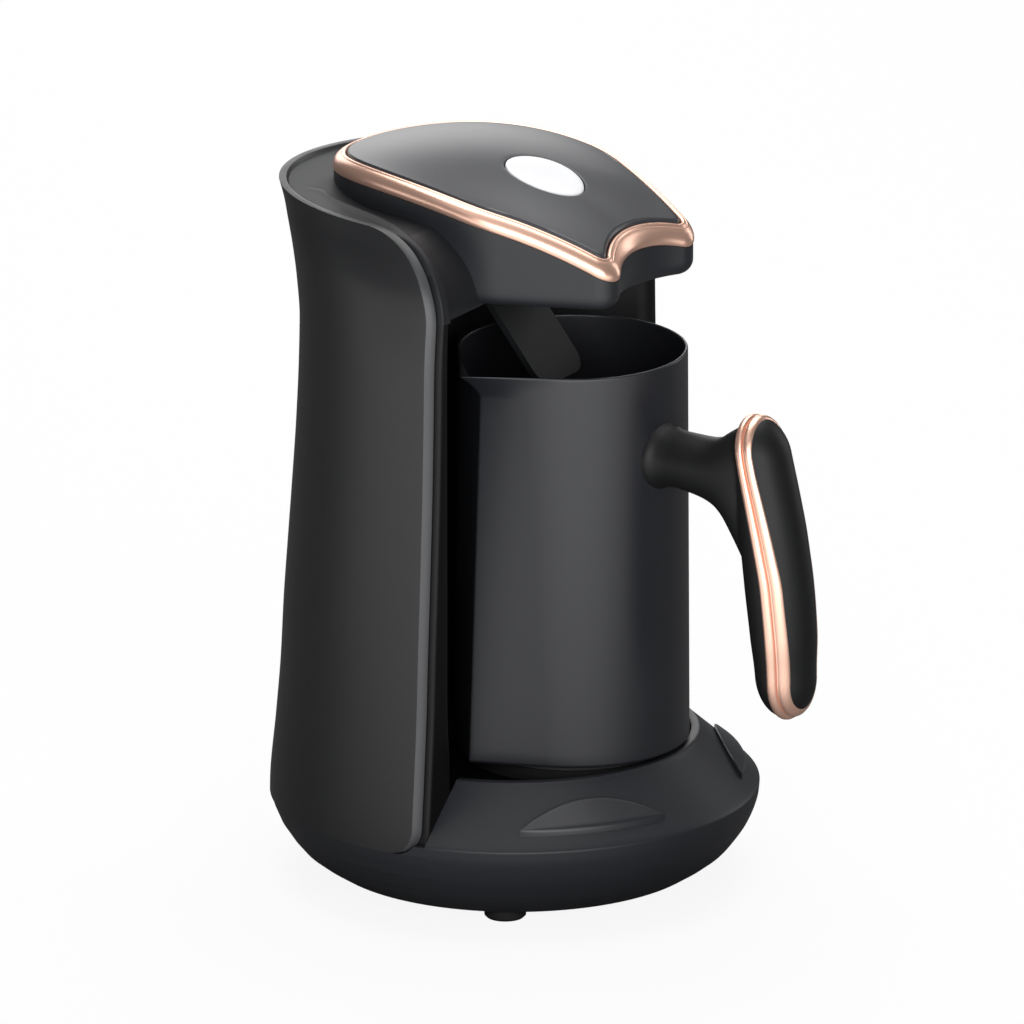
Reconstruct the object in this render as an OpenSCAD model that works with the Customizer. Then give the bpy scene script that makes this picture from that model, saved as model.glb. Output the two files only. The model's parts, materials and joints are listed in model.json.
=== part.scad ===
// Electric Turkish coffee maker: a round base with a hot plate, a tower with a brewing head,
// a sprung foam probe, and a loose pot with a side spout and a trimmed handle.
// Millimetres. +Z up, the pot's handle points to -Y, and the table is at z = 0.

/* [Base] */
// Radius at the base's widest line
base_r = 82.4; // [81:0.2:84]
// Height of the widest line above the table
crease_z = 31; // [30:0.5:32]
// Height of the rubber feet
foot_h = 4.3; // [3.5:0.1:5]
// Radius of the deck's top edge
deck_top_r = 61.6; // [61:0.2:63]
// Height of the deck's top edge above the widest line
deck_rise = 18.2; // [17.5:0.1:18.6]

/* [Tower] */
// Height of the outer shell's rim above the widest line
rim_rise = 206; // [205:0.5:207]
// Wall of the outer shell
shell_wall = 2.5; // [2:0.1:2.6]
// Distance of the shell's front edges in front of the base axis
shell_front = 11.5; // [10:0.5:12]
// Distance of the column's front edges in front of the base axis
column_front = 14.6; // [14:0.1:15]

/* [Head] */
// Half the head's greatest width
head_half = 44.8; // [44:0.1:46]
// Distance of the head's back behind the base axis
head_back = 66; // [65:0.5:67]
// Height of the head's underside above the table
head_z = 209; // [207:0.5:210]
// Width across the centres of the two nose corners
nose_w = 48; // [46:0.5:50]
// Radius of each nose corner
nose_r = 7.5; // [6.5:0.1:8]
// Depth of the scallop between the nose corners
scallop = 6.5; // [5:0.1:7]

/* [Button] */
// Width of the oval power button, across the head
button_w = 24; // [22:0.5:25]
// Length of the oval power button, front to back
button_d = 27; // [25:0.5:28]
// Travel of the power button
button_travel = 1.5; // [1:0.1:1.6]

/* [Pot] */
// Distance of the pot's axis in front of the base axis
pot_forward = 22.3; // [22:0.1:23]
// Radius of the pot at the rim
pot_r = 38.6; // [38:0.1:39]
// Radius of the pot near the bottom
pot_foot_r = 39.5; // [39:0.1:40]
// Height of the pot
pot_h = 135.5; // [133:0.5:137]
// Wall of the pot
pot_wall = 1.2; // [1:0.1:1.5]
// Turn of the pot on its seat, clockwise from above
pot_turn = 6; // [0:1:8]
// Angle from the handle to the spout, clockwise from above
spout_angle = 99.5; // [95:0.5:102]

/* [Handle] */
// Height of the handle's neck above the pot's bottom
neck_rise = 104.4; // [102:0.2:106]
// Radius of the handle's neck
neck_r = 9.6; // [9:0.1:10]
// Length of the grip
grip_len = 102; // [99:0.5:104]

/* [Probe] */
// Width of the probe's flap
flap_w = 28; // [24:0.5:29]
// Length of the flap from its hinge
flap_len = 50; // [48:0.5:51]
// Angle of the flap below the horizontal when the pot is in place
flap_droop = 52; // [51:0.5:53]

/* [Hidden] */
$fn = 96;
// smallest step that keeps a cutter clear of the face it goes through
e = 0.02;

// --- the base axis stands behind the middle of the whole, which is centred on the origin
grip_reach = 98.41;
tower_back = 83.6;
axis_y = (pot_forward + grip_reach * cos(pot_turn) - tower_back) / 2;

// --- base: [radius, height] of the bowl's outer side, from the flat bottom to the widest line
wall = 2.5;
bowl = [
    [base_r - 18.7, foot_h], [base_r - 13.7, foot_h + 3.2], [base_r - 9.8, foot_h + 6.2],
    [base_r - 6.7, foot_h + 9.9], [base_r - 3.2, crease_z - 11.5], [base_r - 1.1, crease_z - 6.5],
    [base_r - 0.3, crease_z - 3.4], [base_r, crease_z]
];
pan_split = foot_h + 6.2;
deck_z = crease_z + deck_rise;
skirt_z = crease_z - 3.5;
service_r = 46;
gland_r = 5.5;
gland_z = 17;
gland_out = base_r - 0.2;
floor_z = 44;
feet_at = [[48.6, -25.4], [-48.6, -25.4], [35, 35], [-35, 35]];
foot_r = 7;

// --- hot plate
plate_r = 33;
pot_z = 50.3;
plate_top = pot_z - 0.1;
plate_t = 2.5;
skirt_r = 32.6;
seal_r = 35.6;

// --- tower: [height above the widest line, half width, half depth] of its oval outline
tower = [
    [-3.5, base_r + 0.1, base_r + 0.1], [1, base_r, base_r], [22, 80.8, 80.3], [43, 79.2, 78.5],
    [64, 78.2, 77.4], [85, 77, 75.8], [106, 75.9, 74.1], [127, 75, 72.5], [148, 74.4, 71.4],
    [163, 74, 71.1], [176, 72.8, 72.8], [187, 71.2, 75.4], [195, 68.6, 78.4], [201, 66, 80.9],
    [rim_rise, 64, tower_back]
];
column_gap = 0.4;
column_z = crease_z;
column_top = crease_z + rim_rise - 1;
bay_r = 76;
bay_back = 22;

// --- head: plan outline; each side goes straight from the nose, turns, and closes as a half oval
nose_y = -46.5;
side_angle = -20;
widest_y = -3.8;
side_reach = nose_w / 2 * cos(side_angle) + nose_y * sin(side_angle) + nose_r;
shoulder_r = (side_reach - head_half * cos(side_angle) - widest_y * sin(side_angle)) / (1 - cos(side_angle));
shoulder = [head_half - shoulder_r, widest_y];
scallop_gap = nose_r - scallop;
scallop_r = (pow(nose_w / 2, 2) + pow(scallop_gap, 2) - nose_r * nose_r) / (2 * (nose_r - scallop_gap));
scallop_y = nose_y - scallop_gap - scallop_r;
nose_start = atan2(nose_w / 2, nose_y - scallop_y);
function arc(c, r, a0, a1, n) = [for (i = [0 : n]) let (a = a0 + (a1 - a0) * i / n)
    [c[0] + r * cos(a), c[1] + r * sin(a)]];
function steps(a, b, n) = [for (i = [1 : n - 1]) a + (b - a) * i / n];
function half_oval(inset, n) = [for (i = [1 : n]) let (a = 90 * i / n)
    [(head_half - inset) * cos(a), widest_y + (head_back - widest_y - inset) * sin(a)]];
function half_outline(inset) = let (
        nose = arc([nose_w / 2, nose_y], nose_r - inset, -90 - nose_start, side_angle, 8),
        turn = arc(shoulder, shoulder_r - inset, side_angle, 0, 5))
    concat(
        arc([0, scallop_y], scallop_r + inset, 90, 90 - nose_start, 7),
        nose, steps(nose[8], turn[0], 8), turn, half_oval(inset, 16)
    );
function without_twins(p) = [for (i = [0 : len(p) - 1])
    if (norm(p[i] - p[(i + 1) % len(p)]) > 0.05) p[i]];
function outline(inset) = let (h = half_outline(inset), n = len(h) - 1)
    without_twins(concat(h, [for (i = [n - 1 : -1 : 1]) [-h[i][0], h[i][1]]]));

// --- head: height of the ring's lower edge over the table, by distance behind the base axis
crest_y = 31;
crest_z = crease_z + 210.4;
lid_arc = 170;
function lid_z(y) = crest_z - lid_arc + sqrt(lid_arc * lid_arc - (y - crest_y) * (y - crest_y));
function lid_slope(y) = asin((crest_y - y) / lid_arc);
ring_w = 4.6;
ring_h = 6;
plate_low = 3.6;
plate_high = 6.1;
plate_crown = 2.3;
plate_mid = [0, 4];

// --- probe flap and its pocket in the head's underside
hinge = [0, 12, 213.2];
pin_r = 1.5;
pin_gap = 0.06;
barrel_r = 2.9;
flap_t = 2.2;
pocket_x = 16;
pocket_front = -41;
pocket_back = 16.4;
pocket_roof = 217;

// --- power button
button_y = -11.5;
button_tilt = lid_slope(button_y);
button_z = lid_z(button_y) + plate_high + plate_crown * 0.9;
button_gap = 0.4;
switch_drop = 11;

// --- pot and handle, in the pot's own frame: axis at x = y = 0, bottom at z = 0, handle to -Y
lip_h = 9;
prow_low = 47.6;
prow_high = 42.2;
prow_lip = 52;
prow_soft = 5;
function pot_radius(z) = pot_foot_r + (pot_r - pot_foot_r) * z / pot_h;
function prow(z) = z < pot_h - lip_h
    ? prow_low + (prow_high - prow_low) * z / (pot_h - lip_h)
    : prow_high + (prow_lip - prow_high) * pow((z - pot_h + lip_h) / lip_h, 1.4);
function pot_wall_r(a, z, inset) = let (
        r = pot_radius(z),
        touch = acos(r / prow(z)),
        off = abs((a + 90 + spout_angle + 540) % 360 - 180),
        soft = sqrt(off * off + prow_soft * prow_soft))
    r / cos(max(0, touch - soft)) - inset;
pot_n = 80;
function pot_ring(z, inset, base_inset = 0) = [for (i = [0 : pot_n - 1]) let (
        a = 360 * i / pot_n,
        r = pot_wall_r(a, z, inset) - base_inset)
    [r * cos(a), r * sin(a), z]];
pot_levels = [3, pot_h * 0.35, pot_h * 0.7, pot_h - lip_h, pot_h - lip_h * 0.6, pot_h - lip_h * 0.25];
pot_floor = 2.6;
disc_r = 31;
disc_t = 1.2;

grip_low = 23;
grip_n = 28;
// [height along the grip, distance from the pot's axis, half width, half depth, offset of the band]
grip = [
    [0, 89.4, 3.4, 3.0, 3.4], [0.025, 89.3, 6.4, 5.8, 3.4], [0.07, 89.1, 9.0, 8.2, 3.4],
    [0.14, 88.6, 11.0, 9.8, 3.8], [0.28, 87.6, 11.9, 10.8, 4.4], [0.44, 85.8, 12.0, 11.4, 4.4],
    [0.60, 83.5, 11.8, 11.2, 3.2], [0.74, 81.2, 11.2, 10.3, 1.4], [0.85, 79.2, 10.4, 9.0, 0],
    [0.93, 77.6, 9.2, 7.4, -0.4], [0.98, 76.4, 6.6, 5.0, -0.4], [1, 76, 3.4, 2.8, -0.4]
];
// [distance from the pot's axis, half width, reach upward, reach downward]
neck = [
    [pot_r - 4, neck_r + 1.6, neck_r + 1.6, neck_r + 1.6],
    [pot_r + 0.6, neck_r + 1.2, neck_r + 1.2, neck_r + 1.2],
    [pot_r + 3, neck_r + 0.4, neck_r + 0.4, neck_r + 0.4], [pot_r + 7, neck_r, neck_r, neck_r + 0.2],
    [pot_r + 14, neck_r, neck_r, neck_r + 1], [pot_r + 18, neck_r, neck_r + 0.1, neck_r + 1.8],
    [pot_r + 23, neck_r + 0.1, neck_r + 1, neck_r + 3.8],
    [pot_r + 27, neck_r + 0.2, neck_r + 3.6, neck_r + 7.6],
    [pot_r + 30, neck_r + 0.2, neck_r + 5.6, neck_r + 12.6], [pot_r + 34, neck_r, neck_r + 7.6, neck_r + 20],
    [pot_r + 38, neck_r - 1, neck_r + 8.6, neck_r + 28]
];
band_w = 5.2;
band_t = 3;

// Seats one hollow or solid form on a stack of closed rings of points
module loft(rings) {
    n = len(rings[0]);
    m = len(rings);
    points = [for (ring = rings) each ring];
    sides = [for (j = [0 : m - 2]) for (i = [0 : n - 1]) let (k = (i + 1) % n) each [
        [j * n + i, (j + 1) * n + i, (j + 1) * n + k],
        [j * n + i, (j + 1) * n + k, j * n + k]
    ]];
    caps = [[for (i = [0 : n - 1]) i], [for (i = [n - 1 : -1 : 0]) (m - 1) * n + i]];
    polyhedron(points, concat(sides, caps), convexity = 6);
}

// A closed hoop: a section of [inset, rise] points carried round the head's outline
module hoop(section) {
    m = len(section);
    loops = [for (s = section) outline(s[0])];
    n = len(loops[0]);
    points = [for (j = [0 : m - 1]) for (p = loops[j]) [p[0], p[1], lid_z(p[1]) + section[j][1]]];
    faces = [for (j = [0 : m - 1]) for (i = [0 : n - 1]) let (k = (i + 1) % n, l = (j + 1) % m) each [
        [j * n + i, l * n + i, l * n + k],
        [j * n + i, l * n + k, j * n + k]
    ]];
    polyhedron(points, faces, convexity = 6);
}

module from_axis() {
    translate([0, axis_y, 0]) children();
}

// Everything behind (side = 1) or in front of (side = -1) a plane across the base
module half(y, side) {
    translate([-150, side > 0 ? y : y - 300, -10]) cube([300, 300, 400]);
}

// A slab seen from the side, extruded across the whole width
module across() {
    rotate([90, 0, 90]) translate([0, 0, -100]) linear_extrude(200) children();
}

// Side view of the tower: straight front edge, rounded corners, from z0 to z1
module tower_side(front, z0, z1, low_r, high_r) {
    across() union() {
        translate([-front, z0 + low_r]) square([150, z1 - z0 - low_r - high_r]);
        translate([-front + low_r, z0]) square([150, low_r + 1]);
        translate([-front + high_r, z1 - high_r - 1]) square([150, high_r + 1]);
        translate([-front + low_r, z0 + low_r]) circle(low_r);
        translate([-front + high_r, z1 - high_r]) circle(high_r);
    }
}

// Everything between two heights over the ring's lower edge
module lid_band(low, high) {
    ys = [for (y = [-62 : 4 : 78]) y];
    across() polygon(concat(
        [for (y = ys) [y, low < -100 ? head_z - 5 : lid_z(y) + low]],
        [for (i = [len(ys) - 1 : -1 : 0]) [ys[i], lid_z(ys[i]) + high]]
    ));
}

module head_plan(inset, z0, z1) {
    translate([0, 0, z0]) linear_extrude(z1 - z0) polygon(outline(inset));
}

module bowl_solid(t) {
    rotate_extrude() polygon(concat(
        [[0, foot_h + t]], [for (p = bowl) [p[0] - t, max(p[1], foot_h + t)]],
        [[base_r - t, crease_z + e], [0, crease_z + e]]
    ));
}

module base_pan() {
    color("#26272a") from_axis() difference() {
        bowl_solid(0);
        bowl_solid(wall);
        intersection() {
            half(-column_front, -1);
            translate([0, 0, pan_split]) cylinder(r = 100, h = 50);
        }
        difference() {
            tower_side(shell_front + 0.15, skirt_z, crease_z + rim_rise, 9, 30);
            cylinder(r = base_r - shell_wall - column_gap, h = 300);
        }
        translate([0, 0, crease_z]) cylinder(r = 100, h = 5);
        cylinder(r = service_r, h = 20);
        translate([0, 90, gland_z]) rotate([90, 0, 0]) cylinder(r = gland_r, h = 30, $fn = 32);
    }
}

module base_front_cover() {
    color("#2c2d30") from_axis() intersection() {
        half(-column_front, -1);
        union() {
            difference() {
                bowl_solid(0);
                bowl_solid(wall);
                cylinder(r = 100, h = pan_split);
                translate([0, 0, crease_z]) cylinder(r = 100, h = 5);
            }
            rotate_extrude() polygon([
                [base_r, crease_z], [base_r - 0.4, crease_z + 0.6], [deck_top_r + 0.6, deck_z - 0.4],
                [deck_top_r, deck_z], [deck_top_r - wall, deck_z], [deck_top_r - wall, floor_z - 2],
                [base_r - 3.6, crease_z]
            ]);
        }
    }
}

// One of the two crescent pads that stand on the deck
function deck_height(r) = deck_z - 0.4 - (r - deck_top_r - 0.6)
    * (deck_rise - 1) / (base_r - deck_top_r - 1);
module crescent(side) {
    reach = 136.6;
    rise = 1.9;
    inner = 66;
    outer = 77.8;
    from_axis() rotate([0, 0, side * 38.5]) intersection() {
        rotate_extrude() polygon([
            [inner, deck_height(inner)], [outer, deck_height(outer)], [outer + 0.5, deck_height(outer) + 0.9],
            [outer - 0.2, deck_height(outer) + 2.2], [inner + rise * 0.66, deck_height(inner) + rise * 0.75]
        ]);
        translate([0, -reach, 0]) cylinder(r = 68.2, h = 80);
    }
}

module pad_left() {
    color("#36373b") crescent(-1);
}

module pad_right() {
    color("#36373b") crescent(1);
}

module feet() {
    color("#18181a") from_axis() for (p = feet_at)
        translate([p[0], p[1], 0]) rotate_extrude()
            polygon([[0, 0], [foot_r - 0.8, 0], [foot_r, 0.8], [foot_r, foot_h], [0, foot_h]]);
}

module service_plate() {
    color("#202124") from_axis() difference() {
        union() {
            translate([0, 0, foot_h]) cylinder(r = service_r, h = wall);
            translate([0, 0, foot_h + wall]) cylinder(r = service_r + 3, h = 1.6);
        }
        for (i = [-4 : 4]) translate([i * 6 - 1.2, -16, 0]) cube([2.4, 32, 20]);
        for (a = [45 : 90 : 315]) rotate([0, 0, a]) translate([39, 0, 0]) cylinder(r = 1.6, h = 20, $fn = 24);
    }
}

module base_screws() {
    color("#8f9196") from_axis() for (a = [45 : 90 : 315]) rotate([0, 0, a])
        translate([39, 0, foot_h - 1.2]) {
        cylinder(r = 3, h = 1.2, $fn = 24);
        cylinder(r = 1.6, h = 9, $fn = 24);
    }
}

module cord_gland() {
    color("#1b1b1d") from_axis() translate([0, gland_out, gland_z]) rotate([90, 0, 0]) difference() {
        union() {
            cylinder(r = gland_r, h = 16, $fn = 32);
            translate([0, 0, 13.6]) cylinder(r = gland_r + 1.4, h = 2.4, $fn = 32);
        }
        translate([0, 0, -1]) cylinder(r = 3.6, h = 20, $fn = 32);
    }
}

module bay_floor() {
    color("#151517") from_axis() intersection() {
        half(-column_front, -1);
        difference() {
            translate([0, 0, floor_z - 2]) cylinder(r = deck_top_r - wall, h = 2);
            translate([0, -pot_forward, 0]) cylinder(r = skirt_r + 0.2, h = 80);
        }
    }
}

module on_pot_axis() {
    from_axis() translate([0, -pot_forward, 0]) children();
}

module hot_plate() {
    color("#54555a") on_pot_axis() rotate_extrude() polygon([
        [0, plate_top - plate_t], [skirt_r - 1.2, plate_top - plate_t], [skirt_r - 1.2, floor_z - 4],
        [skirt_r, floor_z - 4], [skirt_r, plate_top - plate_t], [plate_r, plate_top - plate_t],
        [plate_r, plate_top - 0.5], [plate_r - 0.5, plate_top], [0, plate_top]
    ]);
}

module plate_seal() {
    color("#5a2420") on_pot_axis() rotate_extrude() polygon([
        [skirt_r + 0.05, floor_z], [seal_r, floor_z], [seal_r - 1.6, floor_z + 1.2],
        [skirt_r + 1.2, plate_top - plate_t], [skirt_r + 0.05, plate_top - plate_t]
    ]);
}

module heating_element() {
    color("#9a9ca0") on_pot_axis() {
        rotate([0, 0, 110]) rotate_extrude(angle = 320)
            translate([21, plate_top - plate_t - 3.2]) circle(3.2, $fn = 24);
        for (a = [110, 70]) rotate([0, 0, a]) translate([21, 0, plate_top - plate_t - 16])
            cylinder(r = 3.2, h = 12.8, $fn = 24);
    }
}

module thermostat() {
    color("#c9c9c2") on_pot_axis() {
        translate([0, 0, plate_top - plate_t - 6]) cylinder(r = 8.2, h = 6, $fn = 40);
        translate([0, 0, plate_top - plate_t - 12]) cylinder(r = 6.4, h = 6, $fn = 40);
        for (x = [-3.5, 3.5]) translate([x - 0.4, -3, plate_top - plate_t - 19]) cube([0.8, 6, 7]);
    }
}

module thermal_fuse() {
    color("#e0ded6") on_pot_axis() translate([-6, 11.6, plate_top - plate_t - 3]) rotate([0, 90, 0]) {
        cylinder(r = 2, h = 12, $fn = 24);
        translate([0, 0, -5]) cylinder(r = 0.6, h = 22, $fn = 16);
    }
}

tower_n = 36;
// One oval section of the tower, shrunk by an inset: the back and both flanks, as far as y = -reach
function flank(row, inset, reach = 20) = let (
        a = tower[row][1] - inset, b = tower[row][2] - inset, end = asin(reach / b))
    [for (i = [0 : tower_n]) let (t = -end + (180 + 2 * end) * i / tower_n) [a * cos(t), b * sin(t)]];
function at_height(points, z) = [for (p = points) [p[0], p[1], z]];
last_row = len(tower) - 1;
rows = [0 : last_row];

module outer_shell() {
    color("#2e2f32") from_axis() intersection() {
        difference() {
            loft([for (r = rows) at_height(flank(r, 0), crease_z + tower[r][0])]);
            loft([for (r = rows) at_height(flank(r, shell_wall, 24),
                crease_z + tower[r][0] + (r == 0 ? -1 : r == last_row ? 1 : 0))]);
        }
        tower_side(shell_front, skirt_z, crease_z + rim_rise, 9, 30);
    }
}

// The column's oval form, shrunk by an inset, between two heights
module column_form(inset, z0, z1) {
    intersection() {
        loft([for (r = rows) at_height(flank(r, shell_wall + column_gap + inset), crease_z + tower[r][0])]);
        translate([-150, -150, z0]) cube([300, 300, z1 - z0]);
    }
}

module column() {
    color("#1d1e20") from_axis() difference() {
        intersection() {
            column_form(0, column_z, column_top);
            tower_side(column_front, column_z, column_top, 0.5, 28);
        }
        translate([0, bay_back - bay_r, floor_z]) cylinder(r = bay_r, h = head_z - floor_z);
        translate([0, -pot_forward, 0]) cylinder(r = skirt_r + 0.2, h = 80);
        head_plan(0, head_z, head_z + 60);
        difference() {
            intersection() {
                column_form(wall, column_z - 1, head_z - 3);
                half(-column_front + 3, 1);
            }
            translate([0, bay_back - bay_r, floor_z - wall]) cylinder(r = bay_r + wall, h = head_z);
        }
    }
}

module board_carrier() {
    color("#303136") from_axis() translate([-34, bay_back + wall, column_z + 15]) cube([68, 2, 150]);
}

module power_board() {
    color("#2f6b3f") from_axis() translate([-28, bay_back + 14, column_z + 24]) cube([56, 1.6, 90]);
}

module board_posts() {
    color("#b9bbbf") from_axis() for (x = [-23, 23]) for (z = [32, 106])
        translate([x, bay_back + 14, column_z + z]) rotate([90, 0, 0])
            cylinder(r = 2.5, h = 12 - wall, $fn = 24);
}

module relay() {
    color("#2a5fa8") from_axis() translate([-20, bay_back + 15.6, column_z + 84]) cube([19, 15, 16]);
}

module transformer() {
    color("#c7a43a") from_axis() translate([2, bay_back + 15.6, column_z + 36]) cube([22, 18, 24]);
}

module capacitor() {
    color("#33343a") from_axis() translate([-14, bay_back + 15.6, column_z + 46]) rotate([-90, 0, 0])
        cylinder(r = 6, h = 16, $fn = 32);
}

module head_housing() {
    color("#2b2c2f") from_axis() difference() {
        intersection() {
            loft([for (s = [[3.2, 0], [1.3, 0.8], [0.5, 2.4], [0.3, 5], [0.3, 60]])
                [for (p = outline(s[0])) [p[0], p[1], head_z + s[1]]]]);
            lid_band(-200, -0.08);
        }
        difference() {
            head_plan(2.8, head_z + wall, head_z + 60);
            translate([-pocket_x - wall, pocket_front - wall, head_z])
                cube([2 * (pocket_x + wall), pocket_back - pocket_front + 2 * wall,
                    pocket_roof - head_z + wall]);
        }
        translate([-pocket_x, pocket_front, head_z - 1])
            cube([2 * pocket_x, pocket_back - pocket_front, pocket_roof - head_z + 1]);
        translate(hinge) rotate([0, 90, 0])
            cylinder(r = pin_r, h = 2 * pocket_x + 4, center = true, $fn = 32);
    }
}

module lid_ring() {
    color("#d3a083") from_axis() hoop([
        [ring_w, 0], [0.9, 0], [0.15, 0.9], [0, 2.4], [0.35, 3.6], [1.1, 4.6], [2.1, 5.3], [2.6, 5.2],
        [2.9, 5.5], [3.6, ring_h], [ring_w, 5.8]
    ]);
}

module lid_frame() {
    color("#202124") from_axis() hoop([
        [ring_w + 2.2, 0], [ring_w + 0.1, 0], [ring_w + 0.1, plate_low - 0.1], [ring_w + 2.2, plate_low - 0.1]
    ]);
}

module oval(w, d, h) {
    linear_extrude(h) polygon([for (i = [0 : 63]) let (a = 360 * i / 64) [w / 2 * cos(a), d / 2 * sin(a)]]);
}

// The button's own frame: origin on the lid's surface, +Z along the lid's normal
module at_button() {
    from_axis() translate([0, button_y, button_z]) rotate([button_tilt, 0, 0]) children();
}

// One loop of the top plate: the outline shrunk by an inset, then drawn towards the middle
function plate_loop(inset, share, up) = [for (p = outline(inset)) let (
        q = plate_mid + (p - plate_mid) * share)
    [q[0], q[1], lid_z(share < 0.1 ? plate_mid[1] : q[1]) + up]];

module lid_top_plate() {
    color("#4b4c50") difference() {
        from_axis() loft(concat(
            [for (t = [0.05, 0.3, 0.5, 0.66, 0.8, 0.91, 1]) plate_loop(ring_w + 0.35, t, plate_low)],
            [plate_loop(ring_w + 0.35, 1, plate_high - 0.5)],
            [for (t = [1, 0.88, 0.72, 0.54, 0.36, 0.18, 0.05])
                plate_loop(ring_w + 0.9, t, plate_high + plate_crown * (1 - t * t))]
        ));
        at_button() translate([0, 0, -10]) oval(button_w + 2 * button_gap, button_d + 2 * button_gap, 20);
    }
}

module power_button() {
    color("#e8e8ea") at_button() {
        translate([0, 0, -5.8]) oval(button_w, button_d, 5.9);
        translate([0, 0, 0.1 - e]) oval(button_w - 1.2, button_d - 1.2, 0.4);
        translate([0, 0, -6.8]) oval(button_w + 2.4, button_d + 2.4, 1);
        translate([0, 0, -switch_drop + 2]) cylinder(r = 3, h = 4, $fn = 32);
    }
}

module button_switch() {
    color("#222326") at_button() {
        translate([-3, -3, -switch_drop - 3.2]) cube([6, 6, 3.2]);
        translate([0, 0, -switch_drop]) cylinder(r = 1.7, h = 0.3, $fn = 24);
    }
}

module control_board() {
    color("#2f6b3f") at_button() translate([-20, -8, -switch_drop - 4.8]) cube([40, 20, 1.6]);
}

module indicator_light() {
    color("#d8e4ff") at_button() for (x = [-14, 14]) translate([x, 2, -switch_drop - 3.2])
        cylinder(r = 1.5, h = 3, $fn = 24);
}

module buzzer() {
    color("#17181a") at_button() translate([12, 7, -switch_drop - 3.2]) cylinder(r = 3.6, h = 4, $fn = 32);
}

module at_hinge() {
    from_axis() translate(hinge) children();
}

module probe_pin() {
    color("#b5b7bb") at_hinge() rotate([0, 90, 0])
        cylinder(r = pin_r, h = 2 * pocket_x + 4, center = true, $fn = 32);
}

// The flap hangs from its barrel; its own frame has the flap along -Y
module in_flap() {
    at_hinge() rotate([flap_droop, 0, 0]) children();
}

module probe_flap() {
    corner = 7;
    color("#46474b") in_flap() difference() {
        union() {
            for (x = [-1, 1]) translate([x * (flap_w / 2 - 5), 0, 0]) rotate([0, 90, 0])
                cylinder(r = barrel_r, h = 10, center = true, $fn = 32);
            translate([0, 0, -flap_t / 2]) linear_extrude(flap_t) union() {
                translate([-flap_w / 2, -flap_len + corner]) square([flap_w, flap_len - corner - 4]);
                translate([-flap_w / 2 + corner, -flap_len]) square([flap_w - 2 * corner, corner + 1]);
                for (x = [-1, 1]) translate([x * (flap_w / 2 - corner), -flap_len + corner]) circle(corner);
                for (x = [-1, 1]) translate([x * (flap_w / 2 - 5) - 5, -5]) square([10, 5]);
            }
        }
        rotate([0, 90, 0]) cylinder(r = pin_r + pin_gap, h = 60, center = true, $fn = 32);
        translate([0, -flap_len + 9, -2]) cylinder(r = 3, h = 2.2, $fn = 32);
    }
}

module probe_sensor() {
    color("#c4c6ca") in_flap() translate([0, -flap_len + 9, 0]) {
        translate([0, 0, -2.4]) cylinder(r = 3, h = 2.6, $fn = 32);
        translate([0, 0, -3.2]) cylinder(r1 = 1.6, r2 = 3, h = 0.8, $fn = 32);
    }
}

module probe_spring() {
    color("#9fa1a6") in_flap() for (i = [-2 : 2]) translate([i * 1.4, 0, 0]) rotate([0, 90, 0])
        rotate_extrude() translate([pin_r + pin_gap + 0.5, 0]) circle(0.45, $fn = 16);
}

// The pot's own frame
module in_pot() {
    on_pot_axis() translate([0, 0, pot_z]) rotate([0, 0, -pot_turn]) children();
}

module pot_outer() {
    loft(concat(
        [pot_ring(0, 0, 2.6), pot_ring(0.8, 0, 0.9)],
        [for (z = pot_levels) pot_ring(z, 0)],
        [pot_ring(pot_h, 0)]
    ));
}

module pot_body() {
    color("#3c3d40") in_pot() difference() {
        loft(concat(
            [pot_ring(0, 0, 2.6), pot_ring(0.8, 0, 0.9)],
            [for (z = pot_levels) pot_ring(z, 0)],
            [pot_ring(pot_h - 0.3, 0), pot_ring(pot_h, 0.35), pot_ring(pot_h, pot_wall - 0.3)],
            [for (i = [len(pot_levels) - 1 : -1 : 1]) pot_ring(pot_levels[i], pot_wall)],
            [pot_ring(pot_floor + 3, pot_wall), pot_ring(pot_floor, pot_wall, 3)]
        ));
        translate([0, 0, -1]) cylinder(r = disc_r, h = disc_t + 1);
    }
}

module pot_base_disc() {
    color("#a9abb0") in_pot() cylinder(r = disc_r, h = disc_t);
}

module grip_form(proud) {
    loft([for (g = grip) [for (i = [0 : grip_n - 1]) let (a = 360 * i / grip_n)
        [max(0.4, g[2] + proud) * cos(a), -g[1] + max(0.4, g[3] + proud) * sin(a),
            grip_low - proud / 2 + (grip_len + proud) * g[0]]]]);
}

// The zone of the grip between two distances outward of the band's middle
module band_zone(low, high) {
    rs = [for (g = grip) [-g[1] - g[4], grip_low - 2 + (grip_len + 4) * g[0]]];
    across() polygon(concat(
        [for (p = rs) [p[0] - low, p[1]]],
        [for (i = [len(rs) - 1 : -1 : 0]) [rs[i][0] - high, rs[i][1]]]
    ));
}

// The neck: round at the pot, and flared up and down where it runs into the grip
module neck_form() {
    loft([for (s = neck) [for (i = [0 : grip_n - 1]) let (a = 360 * i / grip_n)
        [s[1] * cos(a), -s[0], neck_rise + (a < 180 ? s[2] : s[3]) * sin(a)]]]);
}

module handle_core() {
    color("#202123") in_pot() difference() {
        union() {
            intersection() {
                grip_form(0);
                band_zone(-60, -band_w / 2);
            }
            intersection() {
                grip_form(-band_t);
                band_zone(-band_w / 2 - 1, 0);
            }
            intersection() {
                neck_form();
                band_zone(-60, -band_w / 2);
            }
        }
        pot_outer();
        translate([0, -pot_r - 30, neck_rise]) rotate([90, 0, 0])
            cylinder(r = 1.6, h = 20, center = true, $fn = 24);
    }
}

module handle_ring() {
    color("#d3a083") in_pot() difference() {
        intersection() {
            grip_form(0.35);
            band_zone(-band_w / 2, band_w / 2);
        }
        grip_form(-band_t);
    }
}

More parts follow.
